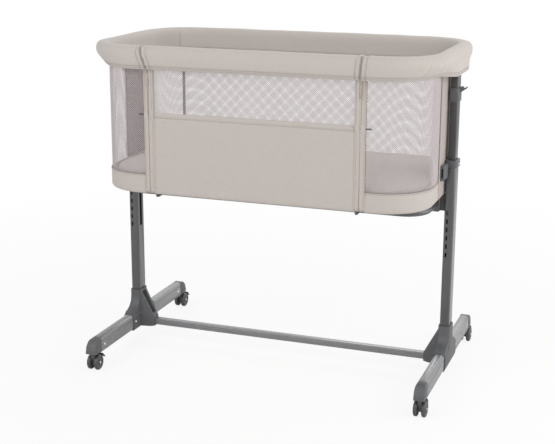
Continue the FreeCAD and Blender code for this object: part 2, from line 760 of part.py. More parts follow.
def pivot_pins():
    """Each pin on a lug that saddles the upright behind the cloth."""
    pins = []
    for side in (-1, 1):
        pin = rod(V(side * leg_in, hinge_y, hinge_z), X * side, pin_radius, pin_out - leg_in)
        post = standing(V(side * upright_x, upright_y, 0), upright_radius)
        pins.append(pin.fuse(pin_lug(side, 0.0)).cut(post).removeSplitter())
    return pins


def pin_lug(side, grow):
    x, half = side * upright_x, lug_width / 2 + grow
    return box(x - half, x + half, front_out, upright_y - upright_radius + 1.5,
               hinge_z - lug_height / 2 - grow, hinge_z + lug_height / 2 + grow)


# Padded rim

def rim_section():
    """The rim's section, as (across, up) corners: a crowned top and a leaning outer face."""
    half, low, high = rim_width / 2, wall_high, wall_high + rim_height
    crown = [(half - rim_crown * (1 - math.cos(a)), high - rim_crown * (1 - math.sin(a)))
             for a in (0.0, math.pi / 4, math.pi / 2)]
    outer = [(rim_waist, low), (half, low + rim_slope)] + crown[1:]
    inner = [(half - rim_hem, low), (half, low + rim_hem)] + crown
    return outer + [(-across, up) for across, up in inner[::-1]]


def round_the_rim(section, end_x, inset, z):
    """A section carried from one zip line round the ends and the back to the other."""
    bend, half_x, half_y = rim_corner - inset, rim_half_x - inset, rim_half_y - inset
    front, corner = (half_x - bend - end_x,), (bend, 90)
    steps = [front, corner, (2 * (half_y - bend),), corner, (2 * (half_x - bend),), corner,
             (2 * (half_y - bend),), corner, front]
    return swept(section, steps, V(end_x, basket_y - half_y, z))


def rim_tube(grow=0.0):
    """The rim's rectangular tube, filled; grown, it is the room for it in the padding."""
    section = oblong(rim_tube_width / 2 + grow, rim_tube_height / 2 + grow)
    return round_the_rim(section, zip_line + rim_tube_end - max(grow, 0), rim_tube_inset,
                         rim_tube_z)


def rim_padding():
    pad = round_the_rim(rim_section(), zip_line + rim_split_gap, 0.0, 0.0)
    pad = pad.cut(rim_tube(soft_gap))
    for side in (-1, 1):
        room_x, room_y = inner_x / 2 + soft_gap, inner_y / 2 + soft_gap
        pad = pad.cut(box(side * post_half - room_x, side * post_half + room_x,
                          post_y - room_y, post_y + room_y, wall_high - 1, rim_tube_z))
        pad = pad.cut(rod_notch(rod_place(side), rod_radius + soft_gap))
        pad = pad.cut(rod_notch(V(side * upright_x, upright_y, 0), upright_radius + soft_gap))
    return pad


def drop_rail(grow=0.0):
    """The front rail's tube, filled; grown, it is the room for it in the padding."""
    section = oblong(rim_tube_width / 2 + grow, rim_tube_height / 2 + grow)
    reach, y = leg_out + max(grow, 0), basket_y - rim_half_y + rim_tube_inset
    return swept(section, [(2 * reach,)], V(-reach, y, rim_tube_z))


def drop_frame():
    """Front rail with two flat legs down to the hinge eyes."""
    rail = drop_rail().cut(drop_rail(-rim_tube_wall))
    top = rim_tube_z - rim_tube_height / 2
    for side in (-1, 1):
        leg = box(side * leg_in, side * leg_out, front_out, front_in, hinge_z, top)
        eye = rod(V(side * leg_in, hinge_y, hinge_z), X * side, eye_radius, leg_width)
        hole = bore(V(side * strip_in, hinge_y, hinge_z), X * side, pin_radius + running,
                    leg_width + 2 * leg_gap)
        rail = rail.fuse([leg, eye]).cut(hole)
    return rail.removeSplitter()


def front_rim_padding():
    half = zip_line - rim_split_gap
    pad = swept(rim_section(), [(2 * half,)], V(-half, basket_y - rim_half_y, 0))
    pad = pad.cut(drop_rail(soft_gap))
    for side in (-1, 1):
        pad = pad.cut(box(side * (leg_in - soft_gap), side * (leg_out + soft_gap),
                          front_out - soft_gap, front_in + soft_gap, wall_high - 1, rim_tube_z))
    return pad


# Cloth walls

def wall_ring(low, high):
    ring = round_prism(wall_half_x, wall_half_y, wall_corner, low, high, 0, basket_y)
    return ring.cut(round_prism(wall_half_x - cloth, wall_half_y - cloth, wall_corner - cloth,
                                low - 1, high + 1, 0, basket_y))


def pin_room(side):
    """Room in the cloth round a hinge pin and its lug."""
    room = rod(V(side * strip_in, hinge_y, hinge_z), X * side, pin_radius + soft_gap,
               pin_out - strip_in)
    return room.fuse(pin_lug(side, soft_gap))


def straight_columns(start, stop, count):
    """Columns of openings along a straight wall, as (middle, heading, width)."""
    run, count = stop - start, round(count)
    heading = math.degrees(math.atan2(run.y, run.x))
    return [(start + run * ((n + 0.5) / count), heading, run.Length / count - net_bar)
            for n in range(count)]


def corner_columns(side_x, side_y, count):
    """Columns of openings round one of the basket's corners."""
    columns, middle, count = [], wall_corner - cloth / 2, round(count)
    width = 2 * wall_corner * math.sin(math.pi / 4 / count) - net_bar
    for n in range(count):
        angle = math.pi / 2 * (n + 0.5) / count
        spot = V(side_x * (wall_half_x - wall_corner + middle * math.cos(angle)),
                 basket_y + side_y * (wall_half_y - wall_corner + middle * math.sin(angle)), 0)
        columns.append((spot, 90 + side_x * side_y * math.degrees(angle), width))
    return columns


def opened(wall, columns, rows, low, high):
    """A wall with a grid of openings, which stand for its net."""
    pitch, gaps = (high - low - net_bar) / round(rows), []
    for spot, heading, width in columns:
        for row in range(round(rows)):
            floor = low + net_bar + row * pitch
            gap = box(-width / 2, width / 2, -4 * cloth, 4 * cloth, floor,
                      floor + pitch - net_bar)
            gap.Placement = FreeCAD.Placement(spot, FreeCAD.Rotation(Z, heading))
            gaps.append(gap)
    return wall.cut(gaps)


def front_window():
    low, y = hinge_z + panel_gap_high, front_out + cloth / 2
    net = box(-strip_in, strip_in, front_out, front_in, low, wall_high)
    columns = straight_columns(V(net_bar - strip_in, y, 0), V(strip_in - net_bar, y, 0),
                               window_count)
    return opened(net, columns, window_row_count, low, wall_high)


def front_panel():
    return box(-strip_in, strip_in, front_out, front_in, wall_low, hinge_z - panel_gap_low)


def zip_strip(side):
    """The strip beside the front panel; its inner half stops below the drop side's leg."""
    outer = box(side * zip_line, side * strip_out, front_out, front_in, wall_low, wall_high)
    inner = box(side * strip_in, side * zip_line, front_out, front_in, wall_low,
                hinge_z - leg_slot)
    return outer.fuse(inner).cut(pin_room(side)).removeSplitter()


def corner_mesh(side):
    ring = wall_ring(band_top, wall_high)
    part = ring.common(box(side * strip_out, side * beyond, -beyond, post_y - end_strip_half,
                           0, beyond))
    end_x, end_y = side * (wall_half_x - cloth / 2), basket_y - wall_half_y + wall_corner
    columns = corner_columns(side, -1, corner_count)
    columns += straight_columns(V(end_x, end_y, 0), V(end_x, post_y - end_strip_half, 0),
                                side_count)
    return opened(part, columns, net_row_count, band_top, wall_high).cut(pin_room(side))


def end_panel(side):
    ring = wall_ring(wall_low, wall_high)
    return ring.common(box(side * strip_out, side * beyond, post_y - end_strip_half,
                           post_y + end_strip_half, 0, beyond))


def rear_mesh():
    wall = wall_ring(band_top, wall_high).common(
        box(-beyond, beyond, post_y + end_strip_half, beyond, 0, beyond))
    reach, y = wall_half_x - wall_corner, basket_y + wall_half_y - cloth / 2
    columns = straight_columns(V(-reach, y, 0), V(reach, y, 0), rear_count)
    columns += corner_columns(-1, 1, corner_count) + corner_columns(1, 1, corner_count)
    return opened(wall, columns, net_row_count, band_top, wall_high)


def lower_band():
    ring = wall_ring(wall_low, band_top)
    pieces = [ring.common(box(s * strip_out, s * beyond, -beyond, post_y - end_strip_half,
                              0, beyond)) for s in (-1, 1)]
    pieces.append(ring.common(box(-beyond, beyond, post_y + end_strip_half, beyond, 0, beyond)))
    return pieces


# Small fittings

def side_clip(side):
    """Strap buckle on the end strip, just ahead of the post."""
    front = post_y - outer_y / 2 - collar_wall - 1.5 - clip_width
    clip = box(wall_half_x, wall_half_x + clip_out, front, front + clip_width,
               band_top, band_top + clip_height)
    long_edges = [e for e in clip.Edges if e.BoundBox.XMin > wall_half_x + 1]
    clip = clip.makeChamfer(clip_bevel, long_edges)
    slot = box(wall_half_x + 4, wall_half_x + 8, front - 1, front + clip_width + 1,
               band_top + 7, band_top + clip_height - 7)
    return mirrored(clip.cut(slot), side)


def zip_slider(side):
    """Slider body on the zip's teeth, with a hanging pull."""
    x, y = side * zip_line, front_out - slider_gap
    body = box(x - slider_width / 2, x + slider_width / 2, y - slider_depth, y,
               slider_z - slider_height / 2, slider_z + slider_height / 2)
    upright = [e for e in body.Edges if abs(e.BoundBox.YLength - slider_depth) < 0.01]
    body = body.makeChamfer(2.0, upright)
    pull_top = slider_z + 2
    pull = box(x - pull_width / 2, x + pull_width / 2, y - slider_depth - pull_thickness,
               y - slider_depth, pull_top - pull_length, pull_top)
    return body.fuse(pull).removeSplitter()


for word, side in sides.items():
    x = side * post_half
    keep(f"foot_{word}", foot_tube(x))
    keep(f"junction_{word}", junction(side))
    keep(f"outer_post_{word}", drilled_post(outer_post(side), side))
    keep(f"post_collar_{word}", post_collar(side))
    keep(f"release_button_{word}", release_button(side))
    keep(f"inner_post_{word}", inner_post(side))
    keep(f"upper_collar_{word}", upper_collar(side))
    keep(f"height_lever_{word}", height_lever(side))
    keep(f"bracket_{word}", bracket(side))
    keep(f"zip_strip_{word}", zip_strip(side))
    keep(f"corner_mesh_{word}", corner_mesh(side))
    keep(f"end_panel_{word}", end_panel(side))
    keep(f"zip_slider_{word}", zip_slider(side))
    for end_word, end in ends.items():
        place = (x, post_y + end * caster_reach)
        keep(f"foot_cap_{end_word}_{word}", foot_cap(x, end))
        keep(f"caster_fork_{end_word}_{word}", caster_fork(*place))
        keep(f"caster_wheels_{end_word}_{word}", caster_wheels(*place))
        keep(f"caster_brake_{end_word}_{word}", caster_brake(*place))

keep("crossbar", crossbar())
keep("stand_screws", stand_screws())
keep("base_loop", base_loop())
keep("support_wires", support_wire(-wire_x), support_wire(wire_x))
keep("base_board", base_board())
keep("mattress", mattress())
keep("frame_rods", *frame_rods())
keep("pivot_pins", *pivot_pins())
keep("rim_frame", rim_tube().cut(rim_tube(-rim_tube_wall)))
keep("rim_padding", rim_padding())
keep("drop_frame", drop_frame())
keep("front_rim_padding", front_rim_padding())
keep("front_window", front_window())
keep("front_panel", front_panel())
keep("rear_mesh", rear_mesh())
keep("lower_band", *lower_band())
keep("side_clips", side_clip(-1), side_clip(1))

for name, shape in parts.items():
    if not shape.isValid():
        print("not valid:", name)
    shape.exportStep(f"parts/{name}.step")
print(len(parts), "nodes")
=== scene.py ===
import bpy
import bmesh
import json
import math
from mathutils import Matrix, Vector, noise

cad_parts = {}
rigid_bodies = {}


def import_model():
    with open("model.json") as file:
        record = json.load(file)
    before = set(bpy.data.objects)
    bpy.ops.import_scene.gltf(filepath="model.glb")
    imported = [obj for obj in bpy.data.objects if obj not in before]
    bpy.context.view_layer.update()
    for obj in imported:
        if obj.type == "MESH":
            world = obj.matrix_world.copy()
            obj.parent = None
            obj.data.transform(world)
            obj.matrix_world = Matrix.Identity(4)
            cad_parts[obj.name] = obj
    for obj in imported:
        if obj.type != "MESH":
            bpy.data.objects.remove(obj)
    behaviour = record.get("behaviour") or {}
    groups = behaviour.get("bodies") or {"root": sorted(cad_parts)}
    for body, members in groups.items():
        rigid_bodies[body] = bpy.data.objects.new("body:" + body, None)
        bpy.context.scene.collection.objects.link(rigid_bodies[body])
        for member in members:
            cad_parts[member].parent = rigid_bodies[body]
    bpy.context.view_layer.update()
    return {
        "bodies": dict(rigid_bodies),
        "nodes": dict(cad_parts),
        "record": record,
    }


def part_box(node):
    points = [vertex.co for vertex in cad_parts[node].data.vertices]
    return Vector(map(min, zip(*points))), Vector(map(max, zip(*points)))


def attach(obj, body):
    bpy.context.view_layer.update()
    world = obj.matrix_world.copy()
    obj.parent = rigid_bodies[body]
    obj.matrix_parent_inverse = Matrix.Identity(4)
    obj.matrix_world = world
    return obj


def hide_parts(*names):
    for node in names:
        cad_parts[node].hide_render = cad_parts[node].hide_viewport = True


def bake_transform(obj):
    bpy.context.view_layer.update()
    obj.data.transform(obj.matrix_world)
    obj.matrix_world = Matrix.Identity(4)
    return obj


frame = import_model()
nodes = frame["nodes"]
bodyNames = {empty: name for name, empty in frame["bodies"].items()}
mm = 0.001
sides = {"left": -1, "right": 1}
corners = [f"{end}_{word}" for end in ("front", "rear") for word in sides]


def hexColour(code):
    # sRGB hex to the linear colour that sockets want
    channels = [int(code[i:i + 2], 16) / 255 for i in (0, 2, 4)]
    return [c / 12.92 if c <= 0.04045 else ((c + 0.055) / 1.055) ** 2.4 for c in channels] + [1.0]


def addNode(tree, kind, values=None, links=None, **settings):
    # a link comes from a socket, or from a node's first output
    node = tree.nodes.new(kind)
    for name, value in settings.items():
        setattr(node, name, value)
    for socket, value in (values or {}).items():
        node.inputs[socket].default_value = value
    for socket, source in (links or {}).items():
        first = source.outputs[0] if isinstance(source, bpy.types.Node) else source
        tree.links.new(first, node.inputs[socket])
    return node


def placedObject(name, data):
    thing = bpy.data.objects.new(name, data)
    bpy.context.scene.collection.objects.link(thing)
    return thing


def meshPiece(name, verts, faces, material, uvs=None, smooth=True, edges=()):
    mesh = bpy.data.meshes.new(name)
    mesh.from_pydata([tuple(v) for v in verts], edges, faces)
    if material:
        mesh.materials.append(material)
    mesh.polygons.foreach_set("use_smooth", [smooth] * len(mesh.polygons))
    if uvs:
        layer = mesh.uv_layers.new(name="cloth")
        for loop in mesh.loops:
            layer.data[loop.index].uv = uvs[loop.vertex_index]
    return placedObject(name, mesh)


def faceOut(piece):
    # a closed mesh gets its doubles merged, then its normals turned outwards
    work = bmesh.new()
    work.from_mesh(piece.data)
    bmesh.ops.remove_doubles(work, verts=work.verts, dist=1e-6)
    bmesh.ops.recalc_face_normals(work, faces=work.faces)
    work.to_mesh(piece.data)
    work.free()
    return piece


def applied(piece):
    # the evaluated mesh, with no modifier left on the piece
    graph = bpy.context.evaluated_depsgraph_get()
    mesh = bpy.data.meshes.new_from_object(piece.evaluated_get(graph))
    piece.modifiers.clear()
    piece.data = mesh
    return piece


def thickened(piece, thick, offset=1.0):
    wall = piece.modifiers.new("thickness", "SOLIDIFY")
    wall.thickness, wall.offset = thick, offset
    return applied(piece)


def settle(piece, body, slotName, *stoodFor):
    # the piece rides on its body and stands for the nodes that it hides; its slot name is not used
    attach(piece, body)
    if stoodFor:
        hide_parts(*stoodFor)
    return piece


def emptyTree(owner):
    owner.use_nodes = True
    owner.node_tree.nodes.clear()
    return owner.node_tree


def surface(name, roughness, **sockets):
    material = bpy.data.materials.new(name)
    tree = emptyTree(material)
    shader = addNode(tree, "ShaderNodeBsdfPrincipled", {"Roughness": roughness, **sockets})
    addNode(tree, "ShaderNodeOutputMaterial", links={"Surface": shader})
    return material, tree, shader


weave = {"threadGap": 1.1 * mm, "slubLength": 22 * mm, "slubWidth": 1.1 * mm, "relief": 0.4 * mm,
         "threadShade": 0.2, "bandsApart": 0.314}      # of a wave texture at scale 1, in metres


def wovenCloth(name, pale, deep, onUv=True):
    # polyester and linen look weave: matt, a grid of threads, and slubs that run both ways.
    # The real threads are 0.4 mm apart, drawn at 1.1 mm so that they show
    material, tree, shader = surface(name, 0.88, **{"Sheen Weight": 0.12, "Sheen Roughness": 0.5})
    if onUv:
        flat = addNode(tree, "ShaderNodeUVMap", uv_map="cloth").outputs[0]
    else:
        flat = addNode(tree, "ShaderNodeTexCoord").outputs["Object"]
    along, across = 1 / weave["slubLength"], 1 / weave["slubWidth"]
    slubs, waves = [], []
    for bands, reach in (("X", [across, along, along]), ("Y", [along, across, along])):
        stretch = addNode(tree, "ShaderNodeMapping", {"Scale": reach}, {"Vector": flat})
        slubs.append(addNode(tree, "ShaderNodeTexNoise", {"Scale": 1.0, "Detail": 2.0},
                             {"Vector": stretch}))
        wave = addNode(tree, "ShaderNodeTexWave",
                       {"Scale": weave["bandsApart"] / (2 * weave["threadGap"]),
                        "Distortion": 0.6, "Detail": 1.0}, {"Vector": flat},
                       bands_direction=bands)
        waves.append(wave.outputs["Fac"])
    streaks = addNode(tree, "ShaderNodeMath", links=dict(enumerate(slubs)), operation="ADD")
    threads = addNode(tree, "ShaderNodeMath", links=dict(enumerate(waves)), operation="MULTIPLY")
    faint = addNode(tree, "ShaderNodeMath", {1: weave["threadShade"]}, {0: threads},
                    operation="MULTIPLY")
    shade = addNode(tree, "ShaderNodeMath", links={0: streaks, 1: faint}, operation="ADD")
    tone = addNode(tree, "ShaderNodeMapRange", {"From Min": 0.6, "From Max": 1.6},
                   {"Value": shade})
    dye = addNode(tree, "ShaderNodeMixRGB", {"Color1": hexColour(deep), "Color2": hexColour(pale)},
                  {"Fac": tone})
    tree.links.new(dye.outputs[0], shader.inputs["Base Color"])
    relief = addNode(tree, "ShaderNodeBump", {"Strength": 0.25, "Distance": weave["relief"]},
                     {"Height": threads})
    tree.links.new(relief.outputs[0], shader.inputs["Normal"])
    return material


def mottled(name, pale, deep, roughness, patch, detail, rub=None, grain=None, **sockets):
    # two tones in soft patches of this size, rubbed smoother or left rougher with them, and a
    # raised grain of (texture, its values, strength, depth)
    material, tree, shader = surface(name, roughness, **sockets)
    spots = addNode(tree, "ShaderNodeTexCoord").outputs["Object"]
    patches = addNode(tree, "ShaderNodeTexNoise", {"Scale": 1 / patch, "Detail": detail},
                      {"Vector": spots})
    tint = addNode(tree, "ShaderNodeMixRGB", {"Color1": hexColour(deep), "Color2": hexColour(pale)},
                   {"Fac": patches})
    tree.links.new(tint.outputs[0], shader.inputs["Base Color"])
    if rub:
        worn = addNode(tree, "ShaderNodeMapRange", {"To Min": roughness - rub[0],
                                                    "To Max": roughness + rub[1]},
                       {"Value": patches})
        tree.links.new(worn.outputs[0], shader.inputs["Roughness"])
    if grain:
        kind, values, strength, depth = grain
        texture = addNode(tree, kind, values, {"Vector": spots})
        relief = addNode(tree, "ShaderNodeBump", {"Strength": strength, "Distance": depth},
                         {"Height": texture})
        tree.links.new(relief.outputs[0], shader.inputs["Normal"])
    return material


def lacqueredMetal(name, pale, deep, metallic=0.35, roughness=0.4, coat=0.8):
    # extruded aluminium or steel tube under a satin lacquer: dark seen straight on, bright at a
    # slant, with a fine orange peel of about 2 mm
    peel = ("ShaderNodeTexNoise", {"Scale": 1 / (2 * mm), "Detail": 2.0}, 0.05, 0.2 * mm)
    return mottled(name, pale, deep, roughness, 50 * mm, 5.0, (0.06, 0.1), peel,
                   **{"Metallic": metallic, "Coat Weight": coat, "Coat Roughness": 0.22})


def mouldedPlastic(name, pale, deep, roughness=0.5):
    # injection moulded nylon or ABS: a spark-eroded grain that breaks up the highlight. Real grit
    # is 0.1 mm, drawn at about 1 mm so that it shows
    pits = ("ShaderNodeTexVoronoi", {"Scale": 1 / (0.9 * mm)}, 0.12, 0.15 * mm)
    return mottled(name, pale, deep, roughness, 40 * mm, 3.0, (0.08, 0.08), pits)


def platedZinc(name, pale, deep, roughness=0.3):
    # plated zinc or steel wire: bright, with faint tumbling marks of about 3 mm
    return mottled(name, pale, deep, roughness, 3 * mm, 4.0, (0.08, 0.12), Metallic=1.0)


def knittedYarn(name, pale, deep, sheen=0.3):
    # polyester yarn: soft, slightly uneven along its length, with a faint halo of fibres
    return mottled(name, pale, deep, 0.8, 16 * mm, 3.0, **{"Sheen Weight": sheen})


panelCloth = wovenCloth("wovenPanelCloth", "c9c2bc", "bcb4ae")
rimCloth = wovenCloth("wovenRimCloth", "cac3bd", "beb6b0")
liningCloth = wovenCloth("wovenLiningCloth", "c0b8b0", "b4aca4")
stripCloth = wovenCloth("wovenStripCloth", "c9c1ba", "bdb4ad")
endCloth = wovenCloth("wovenEndCloth", "b9afaa", "aba19c")
# painted shade: a dark sheet that stands for the end cloth's inside face lying in shadow
paintedShadeEndLining = wovenCloth("wovenPaintedShadeLining", "777170", "6a6463")
mattressCloth = wovenCloth("wovenMattressCotton", "d6d1ce", "ccc6c3", onUv=False)
baseCloth = wovenCloth("wovenBaseCloth", "a79f98", "968e87", onUv=False)
netYarn = knittedYarn("knittedNetYarn", "d6cccd", "c6bcbd")
sewingThread = knittedYarn("spunSewingThread", "857b75", "756c66", sheen=0.1)
footLacquer = lacqueredMetal("lacqueredAluminiumFoot", "868789", "78797b")
postLacquer = lacqueredMetal("lacqueredAluminiumPost", "57585a", "4d4e50", roughness=0.36)
innerLacquer = lacqueredMetal("lacqueredSteelInnerPost", "404144", "36373a")
rodCoat = lacqueredMetal("powderCoatedRod", "403f41", "363537", metallic=0.0, roughness=0.6, coat=0.0)
loopLacquer = lacqueredMetal("lacqueredSteelLoop", "58585a", "4a4a4c", roughness=0.3)
darkNylon = mouldedPlastic("mouldedNylonDark", "5e5f61", "525355")
collarNylon = mouldedPlastic("mouldedNylonCollar", "626366", "57585b", roughness=0.45)
paleAbs = mouldedPlastic("mouldedAbsPale", "c8c8c9", "bcbcbd", roughness=0.4)
wheelNylon = mouldedPlastic("mouldedNylonWheel", "505052", "434345", roughness=0.4)
pedalNylon = mouldedPlastic("mouldedNylonPedal", "464749", "3b3c3e", roughness=0.55)
wireZinc = platedZinc("platedSteelWire", "77767a", "625f60")
zipZinc = mouldedPlastic("paintedZincZip", "b5aca5", "a69d96", roughness=0.4)
screwZinc = platedZinc("platedSteelScrew", "e8e8ea", "cfcfd2", roughness=0.22)
coilNylon = knittedYarn("spunZipCoil", "b9b0a9", "a89f98", sheen=0.1)

slotFinish = {"foot_metal": footLacquer, "post_metal": postLacquer, "inner_metal": innerLacquer,
              "tube_metal": loopLacquer, "dark_moulding": darkNylon,
              "collar_moulding": collarNylon, "pale_moulding": paleAbs, "wheel": wheelNylon,
              "pedal": pedalNylon, "board": baseCloth, "wall_cloth": panelCloth,
              "rim_cloth": rimCloth, "net_cloth": netYarn, "mattress_cloth": mattressCloth,
              "zip_metal": wireZinc}
slotOf = {part["node"]: part["material_slot"] for part in frame["record"]["subparts"]}
for node, slotName in slotOf.items():
    # a CAD node keeps its mesh and gets its finish
    nodes[node].data.materials.clear()
    nodes[node].data.materials.append(slotFinish[slotName])
print("finishes:", len(slotFinish))

rimLow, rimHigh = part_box("rim_padding")
basketY = (rimLow.y + rimHigh.y) / 2
postY = sum(corner.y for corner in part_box("outer_post_left")) / 2
panelHigh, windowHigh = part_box("front_panel")[1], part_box("front_window")[1]
hingeZ = sum(corner.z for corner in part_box("pivot_pins")) / 2

walls = {"halfX": 430 * mm, "halfY": 240 * mm, "corner": 115 * mm, "low": 499 * mm,
         "high": 821 * mm, "bandTop": 548 * mm, "endHalf": 85 * mm, "zipX": 276 * mm,
         "tapeHalf": 12 * mm, "thick": 1.2 * mm, "step": 8 * mm, "rise": 10 * mm,
         "turnIn": 6 * mm, "tuck": 14 * mm, "wrinkle": 0.4 * mm, "ripples": (9.0, 28.0)}
frontY = basketY - walls["halfY"]
tapeIn, tapeOut = walls["zipX"] - walls["tapeHalf"], walls["zipX"] + walls["tapeHalf"]


class ringPath:
    # a rounded rectangle in plan: distance 0 is the front's middle, and it runs to the right
    def __init__(self, halfX, halfY, corner):
        self.halfX, self.halfY, self.corner = halfX, halfY, corner
        self.front = halfX - corner
        self.arc = corner * math.pi / 2
        self.side = 2 * (halfY - corner)
        self.half = 2 * self.front + 2 * self.arc + self.side

    def at(self, s):
        # place and outward direction; the left half mirrors the right one, the rear the front
        if s < 0 or s > self.half:
            x, y, nx, ny = self.at(-s if s < 0 else 2 * self.half - s)
            return -x, y, -nx, ny
        if s > self.half / 2:
            x, y, nx, ny = self.at(self.half - s)
            return x, 2 * basketY - y, nx, -ny
        bend, near = self.corner, basketY - self.halfY
        if s <= self.front:
            return s, near, 0.0, -1.0
        s -= self.front
        if s <= self.arc:
            turn = s / bend
            return (self.front + bend * math.sin(turn), near + bend * (1 - math.cos(turn)),
                    math.sin(turn), -math.cos(turn))
        return self.halfX, near + bend + s - self.arc, 1.0, 0.0

    def alongEnd(self, y):
        # distance at which the right-hand end passes this y
        return self.front + self.arc + (y - (basketY - self.halfY + self.corner))


def spaced(start, stop, step, extra=()):
    count = max(2, round((stop - start) / step))
    spots = [start + (stop - start) * i / count for i in range(count + 1)]
    spots += [e for e in extra if start < e < stop]
    return sorted(set(round(s, 6) for s in spots))


def smooth(low, high, value):
    share = min(1.0, max(0.0, (value - low) / (high - low)))
    return share * share * (3 - 2 * share)


def unevenness(x, y, z, scale, seed=0.0):
    return noise.noise(Vector((x * scale + seed, y * scale, z * scale)))


def placed(path, s, out, z, shape=None):
    # a point this far outside the path, after its shape has moved it outwards, up and along
    if shape:
        out, z, s = shape(s, out, z)
    x, y, nx, ny = path.at(s)
    return x + nx * out, y + ny * out, z


def sweptPiece(name, path, spots, section, material, tube=True, ring=False, shape=None):
    # a section of (outward, height) carried along the path, as a tube or as an open sheet
    verts, uvs, faces, girth = [], [], [], [0.0]
    for a, b in zip(section, section[1:]):
        girth.append(girth[-1] + math.dist(a, b))
    for s in spots:
        for k, (out, z) in enumerate(section):
            verts.append(placed(path, s, out, z, shape))
            uvs.append((s, girth[k]))
    n, rows = len(section), len(spots)
    for i in range(rows if ring else rows - 1):
        for k in range(n if tube else n - 1):
            a, b = i * n + k, i * n + (k + 1) % n
            c, d = (a + n) % (rows * n), (b + n) % (rows * n)
            faces.append((a, c, d, b))
    if tube and not ring:
        for first in (0, (rows - 1) * n):
            cap = [first + k for k in range(n)]
            verts.append([sum(verts[v][c] for v in cap) / n for c in range(3)])
            uvs.append((spots[0] if first == 0 else spots[-1], 0.0))
            faces += [(cap[k], cap[(k + 1) % n], len(verts) - 1) for k in range(n)]
    piece = meshPiece(name, verts, faces, material, uvs)
    return faceOut(piece) if tube else piece


stitchRows = {}                        # by body: rows of (place, outward) pairs


def sewRow(body, row):
    stitchRows.setdefault(body, []).append(row)


def upright(x, y, low, high):
    # a straight row up the front
    return [((x, y, z), (0, -1, 0)) for z in (low, high)]


def ringStack(path, rings, step):
    # rings of (outward, height) round the path, joined by quads and open at both ends
    spots = spaced(0, 2 * path.half, step)[:-1]
    verts, n = [placed(path, s, out, z) for out, z in rings for s in spots], len(spots)
    faces = [(r * n + i, r * n + (i + 1) % n, (r + 1) * n + (i + 1) % n, (r + 1) * n + i)
             for r in range(len(rings) - 1) for i in range(n)]
    return verts, faces, n


def roundTube(name, path, out, z, radius, sides, material):
    # a closed tube round the path
    turns = [2 * math.pi * k / sides for k in range(sides)]
    circle = [(out + radius * math.cos(turn), z + radius * math.sin(turn)) for turn in turns]
    return sweptPiece(name, path, spaced(0, 2 * path.half, 12 * mm)[:-1], circle, material,
                      ring=True)


def rowOnPath(path, spots, out, z, shape=None):
    row = []
    for s in spots:
        row.append((placed(path, s, out, z, shape), (*path.at(s)[2:], 0.0)))
    return row


rim = {"halfX": 445 * mm, "halfY": 242 * mm, "corner": 125 * mm, "half": 20 * mm,
       "low": 818 * mm, "high": 876 * mm, "crown": 23 * mm, "crownSteps": 14, "step": 7 * mm,
       "ease": 0.6 * mm, "outerRises": [0, 0.8, 3, 13, 18, 24, 30], "innerRises": [25, 17, 9, 3],
       "foot": 12 * mm, "cornerTuck": 27.6 * mm, "hem": 7 * mm, "hemDepth": 1.0 * mm,
       "puff": 1.1 * mm, "gather": 1.4 * mm, "gatherReach": 24 * mm, "gatherGap": 3.2 * mm,
       "lean": {-1: 11 * mm, 1: 5 * mm}, "leanReach": 60 * mm, "gap": 0.6 * mm,
       "seamDepth": 2.0 * mm, "seamWidth": 1.3 * mm, "rearSeam": 52.0,
       "rearSeamDepth": 1.3 * mm, "rearSeamWidth": 1.6 * mm, "creaseWidth": 3 * mm,
       "coverHalf": 55 * mm, "coverFade": 95 * mm, "coverDrop": 7 * mm, "coverOut": 10 * mm,
       "fill": 0.7, "sewn": slice(2, 14), "zipped": slice(2, 17)}     # spans of rimSection's points
rimPath = ringPath(rim["halfX"], rim["halfY"], rim["corner"])
rimShoulder = rim["high"] - rim["crown"]
rearSeam = (rimPath.front + rimPath.arc + rimPath.side +
            math.radians(rim["rearSeam"]) * rim["corner"])     # in line with the corner rods
rimRearSeams = [rearSeam, 2 * rimPath.half - rearSeam]
# creases in the outer face: distance round the path, depth, slant
creases = [(430 * mm, 1.6 * mm, 0.30), (468 * mm, 1.2 * mm, -0.2), (-520 * mm, 1.2 * mm, 0.25)]


def rimOut(rise, half):
    # how far the outer face stands out at this height above the hem
    share = rise / (rimShoulder - rim["low"])
    return rim["foot"] + (half - rim["foot"]) * math.sin(math.pi / 2 * share ** 0.9)


def rimSection():
    # outer face from the hem up, then the crown, then the inner face down to its own hem
    low, half, hem = rim["low"], rim["half"] + rim["ease"], rim["hem"] / mm
    outer = []
    for rise in sorted(rim["outerRises"] + [hem - 1.6, hem, hem + 1.6]):
        out = rimOut(rise * mm, half)
        if rise * mm == rim["hem"]:
            out -= rim["hemDepth"]
        outer.append((out if rise else out - 1.2 * mm, low + rise * mm))
    crown, power = [], 2 / 3.0
    for i in range(rim["crownSteps"] + 1):
        turn = math.pi * i / rim["crownSteps"]
        crown.append((math.copysign(abs(math.cos(turn)) ** power, math.cos(turn)) * half,
                      rimShoulder + math.sin(turn) ** power * rim["crown"]))
    inner = [(-rim["half"] - 0.4 * mm, low + rise * mm) for rise in rim["innerRises"]]
    return outer + crown + inner + [(-rim["half"] + 1.5 * mm, low + 0.3 * mm)]


